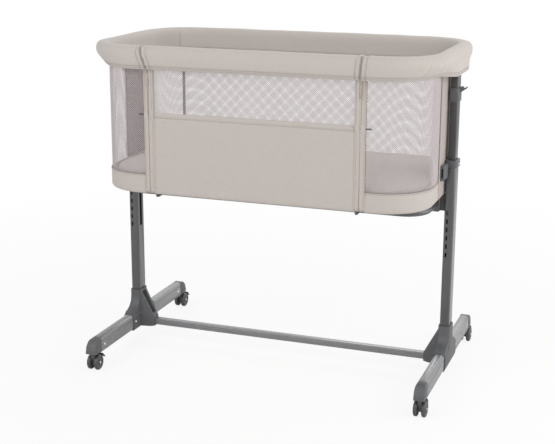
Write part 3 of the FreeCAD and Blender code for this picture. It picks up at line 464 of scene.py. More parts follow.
def rimShape(s, out, z):
    # uneven filling, drawn in at the corners' foot and at the hem, and gathered beside the zips
    x, y, nx = rimPath.at(s)[:3]
    high = (z - rim["low"]) / (rim["high"] - rim["low"])
    swell = unevenness(x, y, z, 13.0) * rim["puff"] * smooth(0.1, 0.6, high)
    fromZip = abs(x) - walls["zipX"] if y < basketY else 1.0
    swell += (math.exp(-(fromZip / rim["gatherReach"]) ** 2) * rim["gather"] *
              math.sin((z + 0.8 * abs(x)) / rim["gatherGap"]) * smooth(0.1, 0.4, high))
    for seam in (-walls["tapeHalf"], walls["tapeHalf"]):
        swell -= rim["seamDepth"] * math.exp(-((fromZip - seam) / rim["seamWidth"]) ** 2)
    if out < 0:
        nearest = min(abs(s - seam) for seam in rimRearSeams)
        swell -= rim["rearSeamDepth"] * math.exp(-(nearest / rim["rearSeamWidth"]) ** 2)
    for place, depth, slant in creases:
        apart = s - place - slant * (z - rimShoulder)
        swell -= depth * math.exp(-(apart / rim["creaseWidth"]) ** 2) * (1 - smooth(0.5, 0.9, high))
    side = 1 if out > 0 else -1
    moved = out + side * swell * min(1, abs(out) / (12 * mm))
    if out > 0:
        # drawn in round the corners, but hanging straight down over the posts' tops
        cover = 1 - smooth(rim["coverHalf"], rim["coverHalf"] + rim["coverFade"], abs(y - postY))
        foot = 1 - smooth(rim["low"] - 10 * mm, rimShoulder + 4 * mm, z)
        moved -= foot * abs(nx) ** 1.5 * rim["cornerTuck"] * (1 - cover)
        moved += foot * cover * rim["coverOut"]
        z -= cover * rim["coverDrop"] * (1 - smooth(rim["low"], rimShoulder, z))
    end = 1 if x > 0 else -1
    lean = rim["lean"][end] * smooth(0.0, 0.9, high) * math.exp(-(fromZip / rim["leanReach"]) ** 2)
    return moved, z + max(0, high - 0.7) * 2.5 * swell, s + end * lean * (y < basketY)


def upRim(s, section):
    # a row that climbs the rim's outer face, with the direction that it faces
    row = []
    for (out, z), (nextOut, nextZ) in zip(section, section[1:]):
        slope = math.hypot(nextOut - out, nextZ - z)
        row.append((placed(rimPath, s, out + 0.4 * mm, z, rimShape),
                    (0, -(nextZ - z) / slope, (out - nextOut) / slope)))
    return row


def buildRim():
    whole, start = 2 * rimPath.half, walls["zipX"] + rim["gap"]
    zipSeams = [walls["zipX"] + side * walls["tapeHalf"] + step * mm
                for side in (-1, 1) for step in (-2.4, -1.2, 0, 1.2, 2.4)]
    folds = [crease[0] + step * mm for crease in creases for step in (-4, -2, 0, 2, 4)]
    folds = [whole + f if f < 0 else f for f in folds]
    folds += [seam + step * mm for seam in rimRearSeams for step in (-3, -1.5, 0, 1.5, 3)]
    rearSpots = spaced(start, whole - start, rim["step"],
                       zipSeams + [whole - s for s in zipSeams] + folds)
    frontStop = walls["zipX"] - rim["gap"]
    frontSpots = spaced(-frontStop, frontStop, rim["step"], zipSeams + [-s for s in zipSeams])
    for name, spots, body, node in (("rimPadding", rearSpots, "basket", "rim_padding"),
                                    ("frontRimPadding", frontSpots, "drop_side",
                                     "front_rim_padding")):
        piece = sweptPiece(name, rimPath, spots, rimSection(), rimCloth, shape=rimShape)
        settle(piece, body, "rim_cloth", node)
        for rise in (rim["hem"] - 2.2 * mm, rim["hem"] + 2.2 * mm):
            out = rimOut(rise, rim["half"]) + 0.9 * mm
            sewRow(body, rowOnPath(rimPath, spots, out, rim["low"] + rise, rimShape))
    for side in (-1, 1):
        for away, body in ((1, "basket"), (-1, "drop_side")):
            place = side * (walls["zipX"] + away * (walls["tapeHalf"] + 2.2 * mm))
            sewRow(body, upRim(place, rimSection()[rim["sewn"]]))
    for seam in rimRearSeams:
        x, y, nx, ny = rimPath.at(seam + 3 * mm)
        out = -rim["half"] - 1.0 * mm
        sewRow("basket", [((x + nx * out, y + ny * out, z), (-nx, -ny, 0))
                          for z in (rim["low"] + 6 * mm, rimShoulder + 4 * mm)])


buildRim()
print("rim padded")

wallPath = ringPath(walls["halfX"], walls["halfY"], walls["corner"])
endStart, endStop = [wallPath.alongEnd(postY + side * walls["endHalf"]) for side in (-1, 1)]
ringLength = 2 * wallPath.half


def clothWall(name, node, start, stop, high, material, bulge=0.0, seed=0.0):
    # one sheet on the wall ring, its lower edge turned in under the board
    turnIn, low = walls["turnIn"], walls["low"]
    section = [(-turnIn - walls["tuck"], low)]
    for i in range(5):
        turn = math.pi / 2 * (1 - i / 4)
        section.append((-turnIn * (1 - math.cos(turn)), low + turnIn * (1 - math.sin(turn))))
    first = low + turnIn
    count = max(2, round((high - first) / walls["rise"]))
    section += [(0.0, first + (high - first) * i / count) for i in range(1, count + 1)]

    def shape(s, out, z):
        across, up = (s - start) / (stop - start), (z - low) / (high - low)
        dome = max(0.0, 4 * across * (1 - across)) ** 0.6 * max(0.0, 4 * up * (1 - up)) ** 0.6
        x, y = wallPath.at(s)[:2]
        broad, fine = walls["ripples"]
        ripple = unevenness(x, y, z, broad, seed) * 2 + unevenness(x, y, z, fine, seed + 7)
        return out + bulge * dome + walls["wrinkle"] * ripple * min(1.0, 3 * dome), z, s

    piece = sweptPiece(name, wallPath, spaced(start, stop, walls["step"]), section, material,
                       tube=False, shape=shape)
    piece = thickened(piece, walls["thick"])
    settle(piece, "basket", "wall_cloth", *([node] if node else []))


base = {"tubeRadius": 8 * mm, "tubeInset": 18 * mm, "tubeHalfY": 134 * mm,
        "tubeCorner": 60 * mm, "tubeSides": 20, "lift": 0.5 * mm, "boardStep": 14 * mm,
        # the board's edge, in mm: inwards from it, and above its bottom or under its top
        "underEdge": [(60, 0), (18, 0), (8, 0.4), (4, 1.6), (1.6, 4)],
        "upperEdge": [(0.6, 1), (1.5, 0), (60, 0)]}


def buildBase():
    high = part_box("base_board")[1]
    inset, bottom = walls["halfX"] - high.x, walls["low"] + base["lift"]
    path = ringPath(high.x, walls["halfY"] - inset, walls["corner"] - inset)
    edge = [(-out * mm, bottom + rise * mm) for out, rise in base["underEdge"]]
    edge += [(-out * mm, high.z - drop * mm) for out, drop in base["upperEdge"]]
    verts, faces, n = ringStack(path, edge, base["boardStep"])
    faces += [tuple(range(n))[::-1], tuple(range((len(edge) - 1) * n, len(edge) * n))]
    board = faceOut(meshPiece("baseBoard", verts, faces, baseCloth))
    board.data.set_sharp_from_angle(angle=math.radians(40))
    settle(board, "basket", "board", "base_board")


def buildLoop():
    low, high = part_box("base_loop")
    path = ringPath(walls["halfX"] - base["tubeInset"], base["tubeHalfY"], base["tubeCorner"])
    loop = roundTube("baseLoopTube", path, 0, (low.z + high.z) / 2, base["tubeRadius"],
                     base["tubeSides"], loopLacquer)
    settle(loop, "basket", "tube_metal", "base_loop")


buildBase()
buildLoop()
print("base board and loop")

seams = {"proud": 0.3 * mm, "edge": 2.5 * mm}          # where stitches run beside a seam


def buildWalls():
    clothWall("frontPanel", "front_panel", -tapeIn, tapeIn, panelHigh.z, panelCloth,
              bulge=2.0 * mm)
    for word, side in sides.items():
        ends, band = (endStart, endStop), (tapeOut, endStart)
        if side < 0:
            ends, band = [(ringLength - b, ringLength - a) for a, b in (ends, band)]
        clothWall(f"endPanel_{word}", f"end_panel_{word}", *ends, walls["high"], endCloth,
                  bulge=0.8 * mm, seed=side)
        clothWall(f"lowerBand_{word}", "lower_band" if side > 0 else None, *band,
                  walls["bandTop"], panelCloth, seed=3 * side)
        # painted shade: a dark sheet 3 mm inside each end, from the band to the top, where the end
        # cloth's inside face lies in shadow
        section = [(-3 * mm, z) for z in spaced(walls["bandTop"], walls["high"], 14 * mm)]
        paintedShadeSheet = sweptPiece(f"paintedShadeEndLining_{word}", wallPath, spaced(*ends, walls["step"]), section,
                            paintedShadeEndLining, tube=False)
        settle(thickened(paintedShadeSheet, 0.8 * mm), "basket", "wall_cloth")
    clothWall("lowerBand_rear", None, endStop, ringLength - endStop, walls["bandTop"],
              panelCloth, seed=5)


def sewWalls():
    # rows of stitches beside the walls' seams
    proud, edge = walls["thick"] + seams["proud"], seams["edge"]
    low, high = walls["low"] + walls["turnIn"], walls["high"] - 1 * mm
    for start, stop in ((tapeOut, endStart), (endStop, ringLength - endStop),
                        (ringLength - endStart, ringLength - tapeOut)):
        sewRow("basket", rowOnPath(wallPath, spaced(start, stop, walls["step"]), proud,
                                   walls["bandTop"] - edge))
    for start in (endStart, endStop, ringLength - endStop, ringLength - endStart):
        inward = edge if start in (endStart, ringLength - endStop) else -edge
        x, y, nx, ny = wallPath.at(start + inward)
        sewRow("basket", [((x + nx * proud, y + ny * proud, z), (nx, ny, 0)) for z in (low, high)])
    sewRow("basket", [((x, frontY - proud, panelHigh.z - edge), (0, -1, 0))
                      for x in (-tapeIn + edge, tapeIn - edge)])


buildWalls()
sewWalls()
print("cloth walls")

tape = {"thick": 1.2 * mm, "step": 6 * mm, "bend": (692 * mm, 714 * mm), "overLeg": 0.4 * mm,
        "bulge": 1.9 * mm, "bulgeReach": 5 * mm, "tuck": 8 * mm,
        # across each tape, in mm: from the zip, above the wall, share of the bulge or of the leg
        "outerPlan": [(0.5, 1.5, 1), (2, 0.9, 1), (6, 0.6, 1), (10, 0.5, 1), (13.5, 0.3, 0)],
        "innerPlan": [(13.8, 0.3, 0), (12.4, 0.6, 0.75), (11.2, 0.6, 1), (5, 0.6, 1),
                      (4.2, 0.7, 0.85), (2.6, 1, 0.3), (0.5, 1.5, 0.1)]}
# the hinge's fold, with its section in mm: above the hinge, proud of the wall
fold = {"section": [(-7, -0.6), (-4, 0.7), (-2, 1.3), (0, 1.6), (2, 1.6), (4, 1.2), (6, 0.2)],
        "thick": 1.0 * mm, "reach": 9 * mm, "step": 8 * mm, "ripple": 0.2 * mm,
        "rippleGap": 9 * mm}


def loftedSheet(name, rows, material, thick, side=1):
    # rows of points from low to high; a left-hand sheet is the right-hand one turned round
    rows = [[(side * x, y, z) for x, y, z in row][::side] for row in rows]
    n, verts = len(rows[0]), [spot for row in rows for spot in row]
    faces = [(i * n + k, i * n + k + 1, (i + 1) * n + k + 1, (i + 1) * n + k)
             for i in range(len(rows) - 1) for k in range(n - 1)]
    uvs = [(side * (x - y), z) for x, y, z in verts]
    return thickened(meshPiece(name, verts, faces, material, uvs), thick)


def buildTapes():
    # each zip has an outer tape on the basket and an inner one, which stays where it is made and
    # rides on no body
    low, high = walls["low"] + 1 * mm, walls["high"] + 3 * mm
    heights = spaced(low, high, tape["step"], [hingeZ + step * mm for step in (-8, -4, 0, 4, 8)])
    zipX, thick = walls["zipX"], tape["thick"]
    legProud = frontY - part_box("drop_frame")[0].y + tape["overLeg"]
    for word, side in sides.items():
        outer, inner = [], []
        for z in heights:
            bulge = tape["bulge"] * math.exp(-((z - hingeZ) / tape["bulgeReach"]) ** 2)
            turn = -tape["tuck"] * (1 - smooth(low - 1 * mm, low + 10 * mm, z)) ** 3
            proud = legProud * smooth(hingeZ - 12 * mm, hingeZ - 3 * mm, z)
            outer.append([(zipX + out * mm, frontY - rise * mm - bulge * swells - turn, z)
                          for out, rise, swells in tape["outerPlan"]])
            inner.append([(zipX - out * mm, frontY - rise * mm - proud * share - turn, z)
                          for out, rise, share in tape["innerPlan"]])
        piece = loftedSheet(f"outerZipTape_{word}", outer, stripCloth, thick, side)
        settle(piece, "basket", "wall_cloth", f"zip_strip_{word}")
        piece = loftedSheet(f"innerZipTape_{word}", inner, stripCloth, thick, side)
        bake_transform(piece)
        outerX, innerX = side * (tapeOut - 1.6 * mm), side * (tapeIn + 2.2 * mm)
        front, foot, top = frontY - thick - 0.9 * mm, low + 12 * mm, high - 4 * mm
        sewRow("basket", upright(outerX, front, foot, hingeZ - 9 * mm))
        sewRow("basket", upright(outerX, front, hingeZ + 9 * mm, top))
        sewRow("drop_side", upright(innerX, front - 0.1 * mm - legProud, hingeZ + 12 * mm, top))
        sewRow("basket", upright(innerX, front, foot, hingeZ - 14 * mm))


def buildHingeFold():
    # the seam that the drop side folds along: a doubled binding between panel and window
    rows = [[(x, frontY - out * mm - fold["ripple"] * math.sin(x / fold["rippleGap"]) *
              (abs(rise) < 3), hingeZ + rise * mm)
             for x in spaced(-tapeIn + 1 * mm, tapeIn - 1 * mm, fold["step"])]
            for rise, out in fold["section"]]
    piece = loftedSheet("hingeBinding", rows, panelCloth, fold["thick"])
    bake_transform(piece)


buildTapes()
buildHingeFold()
print("zip tapes and hinge fold")

stitch = {"pitch": 3.4 * mm, "size": (2.5 * mm, 0.7 * mm, 0.7 * mm)}   # real ones are 3 by 0.4 mm
coil = {"pitch": 1.8 * mm, "size": (1.1 * mm, 3.4 * mm, 1.4 * mm),     # a coil zip's turns
        "apart": 1.6 * mm, "proud": 2.8 * mm}


def openTree(name, result, **inputs):
    # a tree with named inputs, and the sockets that they give
    tree = bpy.data.node_groups.new(name, "GeometryNodeTree")
    for label, kind in inputs.items():
        tree.interface.new_socket(label, in_out="INPUT", socket_type="NodeSocket" + kind)
    tree.interface.new_socket(result, in_out="OUTPUT", socket_type="NodeSocketGeometry")
    return tree, addNode(tree, "NodeGroupInput").outputs


def closeTree(tree, result, geometry, material):
    real = addNode(tree, "GeometryNodeRealizeInstances", links={"Geometry": geometry})
    dyed = addNode(tree, "GeometryNodeSetMaterial", links={"Geometry": real,
                                                           "Material": material})
    addNode(tree, "NodeGroupOutput", links={result: dyed})
    return tree


def grown(piece, group, **values):
    # inputs go in by each socket's identifier, before the piece is first evaluated
    modifier = piece.modifiers.new("pattern", "NODES")
    modifier.node_group = group
    for item in group.interface.items_tree:
        if item.item_type == "SOCKET" and item.in_out == "INPUT" and item.name in values:
            modifier[item.identifier] = values[item.name]
    return applied(piece)


def guidePoints(name, spots, edges=()):
    # a bare mesh of (place, outward) pairs for a pattern to stand on
    piece = meshPiece(name, [place for place, out in spots], [], None, edges=edges)
    lay = piece.data.attributes.new("outward", "FLOAT_VECTOR", "POINT")
    lay.data.foreach_set("vector", [c for place, out in spots for c in out])
    return piece


def beadTree():
    # a bead every pitch along the object's own edges, each turned to lie on the cloth
    tree, given = openTree("beadsAlongRows", "Beads", Rows="Geometry", Pitch="Float",
                           Size="Vector", Thread="Material")
    line = addNode(tree, "GeometryNodeMeshToCurve", links={"Mesh": given["Rows"]})
    spots = addNode(tree, "GeometryNodeCurveToPoints", mode="LENGTH",
                    links={"Curve": line, "Length": given["Pitch"]})
    outward = addNode(tree, "GeometryNodeInputNamedAttribute", {"Name": "outward"},
                      data_type="FLOAT_VECTOR")
    along = addNode(tree, "FunctionNodeAlignRotationToVector", axis="X",
                    links={"Vector": spots.outputs["Tangent"]})
    flat = addNode(tree, "FunctionNodeAlignRotationToVector", axis="Z", pivot_axis="X",
                   links={"Rotation": along, "Vector": outward})
    ball = addNode(tree, "GeometryNodeMeshIcoSphere", {"Radius": 0.5, "Subdivisions": 1})
    bead = addNode(tree, "GeometryNodeTransform", links={"Geometry": ball, "Scale": given["Size"]})
    sewn = addNode(tree, "GeometryNodeInstanceOnPoints",
                   links={"Points": spots, "Instance": bead, "Rotation": flat})
    real = addNode(tree, "GeometryNodeRealizeInstances", links={"Geometry": sewn})
    shaded = addNode(tree, "GeometryNodeSetShadeSmooth", links={"Geometry": real})
    return closeTree(tree, "Beads", shaded, given["Thread"])


beadGroup = beadTree()


def beadsOn(name, rows, kind, thread):
    edges, first = [], 0
    for row in rows:
        edges += [(first + i, first + i + 1) for i in range(len(row) - 1)]
        first += len(row)
    piece = guidePoints(name, [spot for row in rows for spot in row], edges)
    return grown(piece, beadGroup, Pitch=kind["pitch"], Size=kind["size"], Thread=thread)


def buildCoils():
    # the inner half of each coil goes with the drop side, and both run on over the rim
    for word, side in sides.items():
        for body, name, away in (("basket", "outerZipCoil", 1), ("drop_side", "innerZipCoil", -1)):
            x, front = side * (walls["zipX"] + away * coil["apart"]), frontY - coil["proud"]
            rows = [upright(x, front, hingeZ + 1 * mm, walls["high"] - 2 * mm),
                    upRim(x, rimSection()[rim["zipped"]])]
            if away > 0:
                rows.append(upright(side * walls["zipX"], front + 0.6 * mm,
                                    walls["low"] + 9 * mm, hingeZ - 1 * mm))
            settle(beadsOn(f"{name}_{word}", rows, coil, coilNylon), body, "wall_cloth")


buildCoils()

# threads of such nets are about 2.6 mm apart, drawn at 3.6 mm so that the lattice shows
net = {"pitch": 3.6 * mm, "thread": 0.96 * mm, "relief": 0.3 * mm, "inset": 1.5 * mm,
       "step": 6 * mm, "cuts": 26}


def netTree():
    # two families of slanting threads of four sides each, wrapped on the object's own path
    tree, given = openTree("slantingThreads", "Net", Path="Geometry", Length="Float", Low="Float",
                           Reach="Vector", Spacing="Vector", Count="Int", Radius="Float",
                           Relief="Vector", Yarn="Material")
    joined = addNode(tree, "GeometryNodeJoinGeometry")
    for lean in (1, -1):
        start = addNode(tree, "ShaderNodeVectorMath", {1: (-max(lean, 0), 0, 0)},
                        {0: given["Reach"]}, operation="MULTIPLY")
        row = addNode(tree, "GeometryNodeMeshLine", mode="OFFSET",
                      links={"Count": given["Count"], "Start Location": start,
                             "Offset": given["Spacing"]})
        stop = addNode(tree, "ShaderNodeVectorMath", {1: (lean, 1, 1)}, {0: given["Reach"]},
                       operation="MULTIPLY")
        line = addNode(tree, "GeometryNodeCurvePrimitiveLine", links={"End": stop})
        fine = addNode(tree, "GeometryNodeResampleCurve", {"Count": net["cuts"]}, {"Curve": line})
        laid = addNode(tree, "GeometryNodeInstanceOnPoints", links={"Points": row,
                                                                    "Instance": fine})
        strands = addNode(tree, "GeometryNodeRealizeInstances", links={"Geometry": laid})
        level = addNode(tree, "GeometryNodeSetCurveNormal", links={"Curve": strands},
                        mode="Z_UP")
        girth = addNode(tree, "GeometryNodeCurvePrimitiveCircle", {"Resolution": 4},
                        {"Radius": given["Radius"]})
        thread = addNode(tree, "GeometryNodeCurveToMesh", links={"Curve": level,
                                                                 "Profile Curve": girth})
        over = addNode(tree, "ShaderNodeVectorMath", {1: (0, 0, lean)}, {0: given["Relief"]},
                       operation="MULTIPLY")
        lifted = addNode(tree, "GeometryNodeSetPosition", links={"Geometry": thread,
                                                                 "Offset": over})
        tree.links.new(lifted.outputs[0], joined.inputs[0])
    place = addNode(tree, "GeometryNodeInputPosition")
    spot = addNode(tree, "ShaderNodeSeparateXYZ", links={"Vector": place}).outputs
    along = addNode(tree, "ShaderNodeClamp", links={"Value": spot["X"], "Max": given["Length"]})
    line = addNode(tree, "GeometryNodeMeshToCurve", links={"Mesh": given["Path"]})
    sample = addNode(tree, "GeometryNodeSampleCurve", mode="LENGTH",
                     links={"Curves": line, "Length": along}).outputs
    out = addNode(tree, "ShaderNodeVectorMath", {1: (0, 0, 1)}, {0: sample["Tangent"]},
                  operation="CROSS_PRODUCT")
    pushed = addNode(tree, "ShaderNodeVectorMath", operation="SCALE",
                     links={0: out, "Scale": spot["Z"]})
    high = addNode(tree, "ShaderNodeMath", links={0: spot["Y"], 1: given["Low"]}, operation="ADD")
    up = addNode(tree, "ShaderNodeCombineXYZ", links={"Z": high})
    flat = addNode(tree, "ShaderNodeVectorMath", operation="ADD",
                   links={0: sample["Position"], 1: pushed})
    wrapped = addNode(tree, "ShaderNodeVectorMath", operation="ADD", links={0: flat, 1: up})
    shaped = addNode(tree, "GeometryNodeSetPosition", links={"Geometry": joined,
                                                             "Position": wrapped})
    return closeTree(tree, "Net", shaped, given["Yarn"])


netGroup = netTree()


def netSheet(name, node, body, start, stop, low, high):
    points = []
    for s in spaced(start, stop, net["step"]):
        x, y, nx, ny = wallPath.at(s)
        points.append((x - nx * net["inset"], y - ny * net["inset"], 0.0))
    piece = meshPiece(name, points, [], None, edges=[(i, i + 1) for i in range(len(points) - 1)])
    length = sum(math.dist(a, b) for a, b in zip(points, points[1:]))
    rise, spacing = high - low, net["pitch"] * math.sqrt(2)
    piece = grown(piece, netGroup, Length=length, Low=low, Reach=(rise, rise, 0.0),
                  Spacing=(spacing, 0.0, 0.0), Count=int((length + rise) / spacing) + 1,
                  Radius=net["thread"] / 2, Relief=(0.0, 0.0, net["relief"] / 2), Yarn=netYarn)
    # threads that pass the sheet's ends were folded onto them, and those folds go
    work = bmesh.new()
    work.from_mesh(piece.data)
    atEnd = set()
    for end in (Vector(points[0]).xy, Vector(points[-1]).xy):
        atEnd.update(v for v in work.verts if (v.co.xy - end).length < net["thread"])
    folded = [f for f in work.faces if all(v in atEnd for v in f.verts)]
    bmesh.ops.delete(work, geom=folded, context="FACES")
    work.to_mesh(piece.data)
    work.free()
    settle(piece, body, "net_cloth", node)
    return len(piece.data.polygons)


overBand, endIn = walls["bandTop"] - 4 * mm, 3 * mm
counts = [netSheet("windowNet", "front_window", "drop_side", -tapeIn - 1 * mm, tapeIn + 1 * mm,
                   hingeZ + 6 * mm, windowHigh.z + 2 * mm),
          netSheet("cornerNet_right", "corner_mesh_right", "basket", tapeOut - endIn,
                   endStart + endIn, overBand, walls["high"]),
          netSheet("cornerNet_left", "corner_mesh_left", "basket", -endStart - endIn,
                   -tapeOut + endIn, overBand, walls["high"]),
          netSheet("rearNet", "rear_mesh", "basket", endStop - endIn, ringLength - endStop + endIn,
                   overBand, walls["high"])]
print("net faces:", counts)

mattress = {"inset": 8 * mm, "crown": 4 * mm, "voxel": 8 * mm, "pressure": 4.0, "cap": 6 * mm,
            "frames": 20, "piping": 2.2 * mm, "edge": 6 * mm, "fill": 0.75,
            # rings of the pad, in mm: inwards, and above the bottom or the side's top
            "lowerRings": [(30, 0.3), (6, 0.3), (0, 4), (2, 12), (4, 20), (2, 28)],
            "upperRings": [(0, -8), (6, -3), (26, 0), (60, 2), (110, 3.5)]}
mattressLow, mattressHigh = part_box("mattress")
mattressPath = ringPath(walls["halfX"] - mattress["inset"], walls["halfY"] - mattress["inset"],
                        walls["corner"] - mattress["inset"])


def mattressBlank():
    # a crowned pad whose side draws in between its two piped edges
    low, high = mattressLow.z, mattressHigh.z - mattress["crown"]
    rings = [(-out * mm, low + rise * mm) for out, rise in mattress["lowerRings"]]
    rings += [(-out * mm, high + rise * mm) for out, rise in mattress["upperRings"]]
    verts, faces, n = ringStack(mattressPath, rings, 12 * mm)
    for first, z in ((0, rings[0][1]), ((len(rings) - 1) * n, rings[-1][1])):
        verts.append((0, basketY, z))
        faces += [(first + i, first + (i + 1) % n, len(verts) - 1) for i in range(n)]
    return faceOut(meshPiece("mattressPad", verts, faces, mattressCloth))


def puffUp(piece):
    # air pressure fills the sewn cover; each point may move no further than the cap
    remesh = piece.modifiers.new("evenMesh", "REMESH")
    remesh.mode, remesh.voxel_size, remesh.use_smooth_shade = "VOXEL", mattress["voxel"], True
    applied(piece)
    rest = [v.co.copy() for v in piece.data.vertices]
    cloth = piece.modifiers.new("air", "CLOTH")
    cloth.settings.use_pressure = True
    cloth.settings.uniform_pressure_force = mattress["pressure"]
    cloth.settings.effector_weights.gravity = 0
    cloth.point_cache.frame_start, cloth.point_cache.frame_end = 1, mattress["frames"]
    scene = bpy.context.scene
    for frameNumber in range(1, mattress["frames"] + 1):
        scene.frame_set(frameNumber)
    graph = bpy.context.evaluated_depsgraph_get()
    blown = [v.co.copy() for v in piece.evaluated_get(graph).data.vertices]
    piece.modifiers.clear()
    scene.frame_set(1)
    for vertex, old, new in zip(piece.data.vertices, rest, blown):
        move = new - old
        if move.length > mattress["cap"]:
            move *= mattress["cap"] / move.length
        spot = old + move
        spot.z = min(max(spot.z, mattressLow.z), mattressHigh.z)
        vertex.co = spot
    finer = piece.modifiers.new("finer", "SUBSURF")
    finer.levels = finer.render_levels = 1
    applied(piece)
    piece.data.polygons.foreach_set("use_smooth", [True] * len(piece.data.polygons))
    if not piece.data.materials:
        piece.data.materials.append(mattressCloth)


def buildMattress():
    pad = mattressBlank()
    puffUp(pad)
    settle(pad, "basket", "mattress_cloth", "mattress")
    edge = mattress["edge"]
    for name, z in (("mattressPiping_low", mattressLow.z + edge),
                    ("mattressPiping_high", mattressHigh.z - mattress["crown"] - edge)):
        piping = roundTube(name, mattressPath, 1 * mm, z, mattress["piping"], 8, liningCloth)
        settle(piping, "basket", "mattress_cloth")


buildMattress()
print("mattress")

# eased copies: the name each piece gets and the width of its bevel in mm
eased = {"foot": ("footTube", 0.5), "junction": ("junctionShell", 0.7),
         "outer_post": ("outerPostTube", 0.4), "post_collar": ("postCollarRing", 0.6),
         "inner_post": ("innerPostTube", 0.4), "upper_collar": ("upperCollarBody", 0.6),
         "height_lever": ("heightLeverTongue", 0.5), "bracket": ("bracketBlock", 0.7),
         "release_button": ("releaseButtonHook", 0.6), "crossbar": ("crossbarTube", 0.5),
         "foot_cap": ("footCapElbow", 0.7), "caster_fork": ("casterForkWeb", 0.5),
         "caster_brake": ("casterBrakePedal", 0.6), "side_clips": ("sideClipBuckles", 0.6),
         "zip_slider": ("zipSliderBody", 0.5), "support_wires": ("baseSupportWires", 0),
         "frame_rods": ("cornerRods", 0), "pivot_pins": ("pivotPinRods", 0.2),
         "drop_frame": ("dropSideFrame", 0.3)}
ownFinish = {"caster_fork": darkNylon, "zip_slider": zipZinc, "frame_rods": rodCoat}
easing = {"merge": 1e-6, "flat": 1.0, "round": 36.0, "bevelFrom": 42.0, "segments": 2}


def easedCopy(node, name, width, material):
    # a merged copy of the node, its sharp edges bevelled and its chorded curves shaded round
    mesh = nodes[node].data.copy()
    work = bmesh.new()
    work.from_mesh(mesh)
    bmesh.ops.remove_doubles(work, verts=work.verts, dist=easing["merge"])
    bmesh.ops.dissolve_limit(work, angle_limit=math.radians(easing["flat"]), verts=work.verts,
                             edges=work.edges)
    work.to_mesh(mesh)
    work.free()
    piece = placedObject(name, mesh)
    mesh.materials.clear()
    mesh.materials.append(material)
    mesh.polygons.foreach_set("use_smooth", [True] * len(mesh.polygons))
    if width:
        bevel = piece.modifiers.new("edge", "BEVEL")
        bevel.width, bevel.segments = width * mm, easing["segments"]
        bevel.limit_method, bevel.angle_limit = "ANGLE", math.radians(easing["bevelFrom"])
        applied(piece)
    piece.data.set_sharp_from_angle(angle=math.radians(easing["round"]))
    return settle(piece, bodyNames[nodes[node].parent], slotOf[node], node)


def easeHardParts():
    endings = ["", "_left", "_right"] + ["_" + corner for corner in corners]
    made = 0
    for stem, (name, width) in eased.items():
        for node, ending in [(stem + ending, ending) for ending in endings]:
            if node in nodes:
                material = ownFinish.get(stem, slotFinish[slotOf[node]])
                easedCopy(node, name + ending, width, material)
                made += 1
    return made


print("hard parts eased:", easeHardParts())

wheel = {"sides": 40,
         "tread": [(5.0, 4), (5.0, 16.6), (5.5, 18.2), (6.8, 20.1), (8.6, 20.95), (12.2, 20.95),
                   (14.0, 20.2), (15.3, 18.6), (15.8, 16.8), (15.8, 15.6), (15.0, 15.0),
                   (14.6, 14.2), (14.6, 8.6), (15.0, 8.0), (16.2, 7.4), (16.6, 6.4), (16.6, 4.2),
                   (15.9, 3.8), (15.9, 0.0)],
         "cap": [(15.9, 3.4), (16.9, 3.0), (17.1, 2.0), (17.2, 0.0)],
         "axle": [(-5.0, 4), (-5.0, 3.0), (5.0, 3.0), (5.0, 4)]}


def spunPiece(name, runs, centre, material):
    # (profile, side) runs about one axle, in rings of (along X, radius); radius 0 is a pole
    verts, faces, count = [], [], wheel["sides"]
    for profile, side in runs:
        rings = []
        for along, radius in profile:
            rings.append((len(verts), radius == 0))
            for k in range(count if radius else 1):
                turn = 2 * math.pi * k / count
                verts.append(centre + Vector((side * along * mm, radius * mm * math.cos(turn),
                                              radius * mm * math.sin(turn))))
        for (a, _), (b, pole) in zip(rings, rings[1:]):
            for k in range(count):
                j = (k + 1) % count
                faces.append((a + k, a + j, b) if pole else (a + k, a + j, b + j, b + k))
    return faceOut(meshPiece(name, verts, faces, material))


def buildWheels():
    for corner in corners:
        node = f"caster_wheels_{corner}"
        low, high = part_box(node)
        centre, body = (low + high) / 2, bodyNames[nodes[node].parent]
        tread, cap = wheel["tread"], wheel["cap"]
        pair = spunPiece(f"casterWheelPair_{corner}", [(tread, -1), (tread, 1), (wheel["axle"], 1)],
                         centre, wheelNylon)
        pair.data.set_sharp_from_angle(angle=math.radians(32))
        settle(pair, body, "wheel", node)
        ends = spunPiece(f"casterAxleCaps_{corner}", [(cap, -1), (cap, 1)], centre, screwZinc)
        settle(ends, body, "wheel")


buildWheels()
print("wheels")

screws = {"radius": 3.6 * mm, "rise": 1.7 * mm, "sides": 16,       # dome: (share of radius, of rise)
          "dome": [(0.0, 0.35), (0.33, 0.4), (0.45, 0.98), (0.7, 0.9), (1.0, 0.1)]}


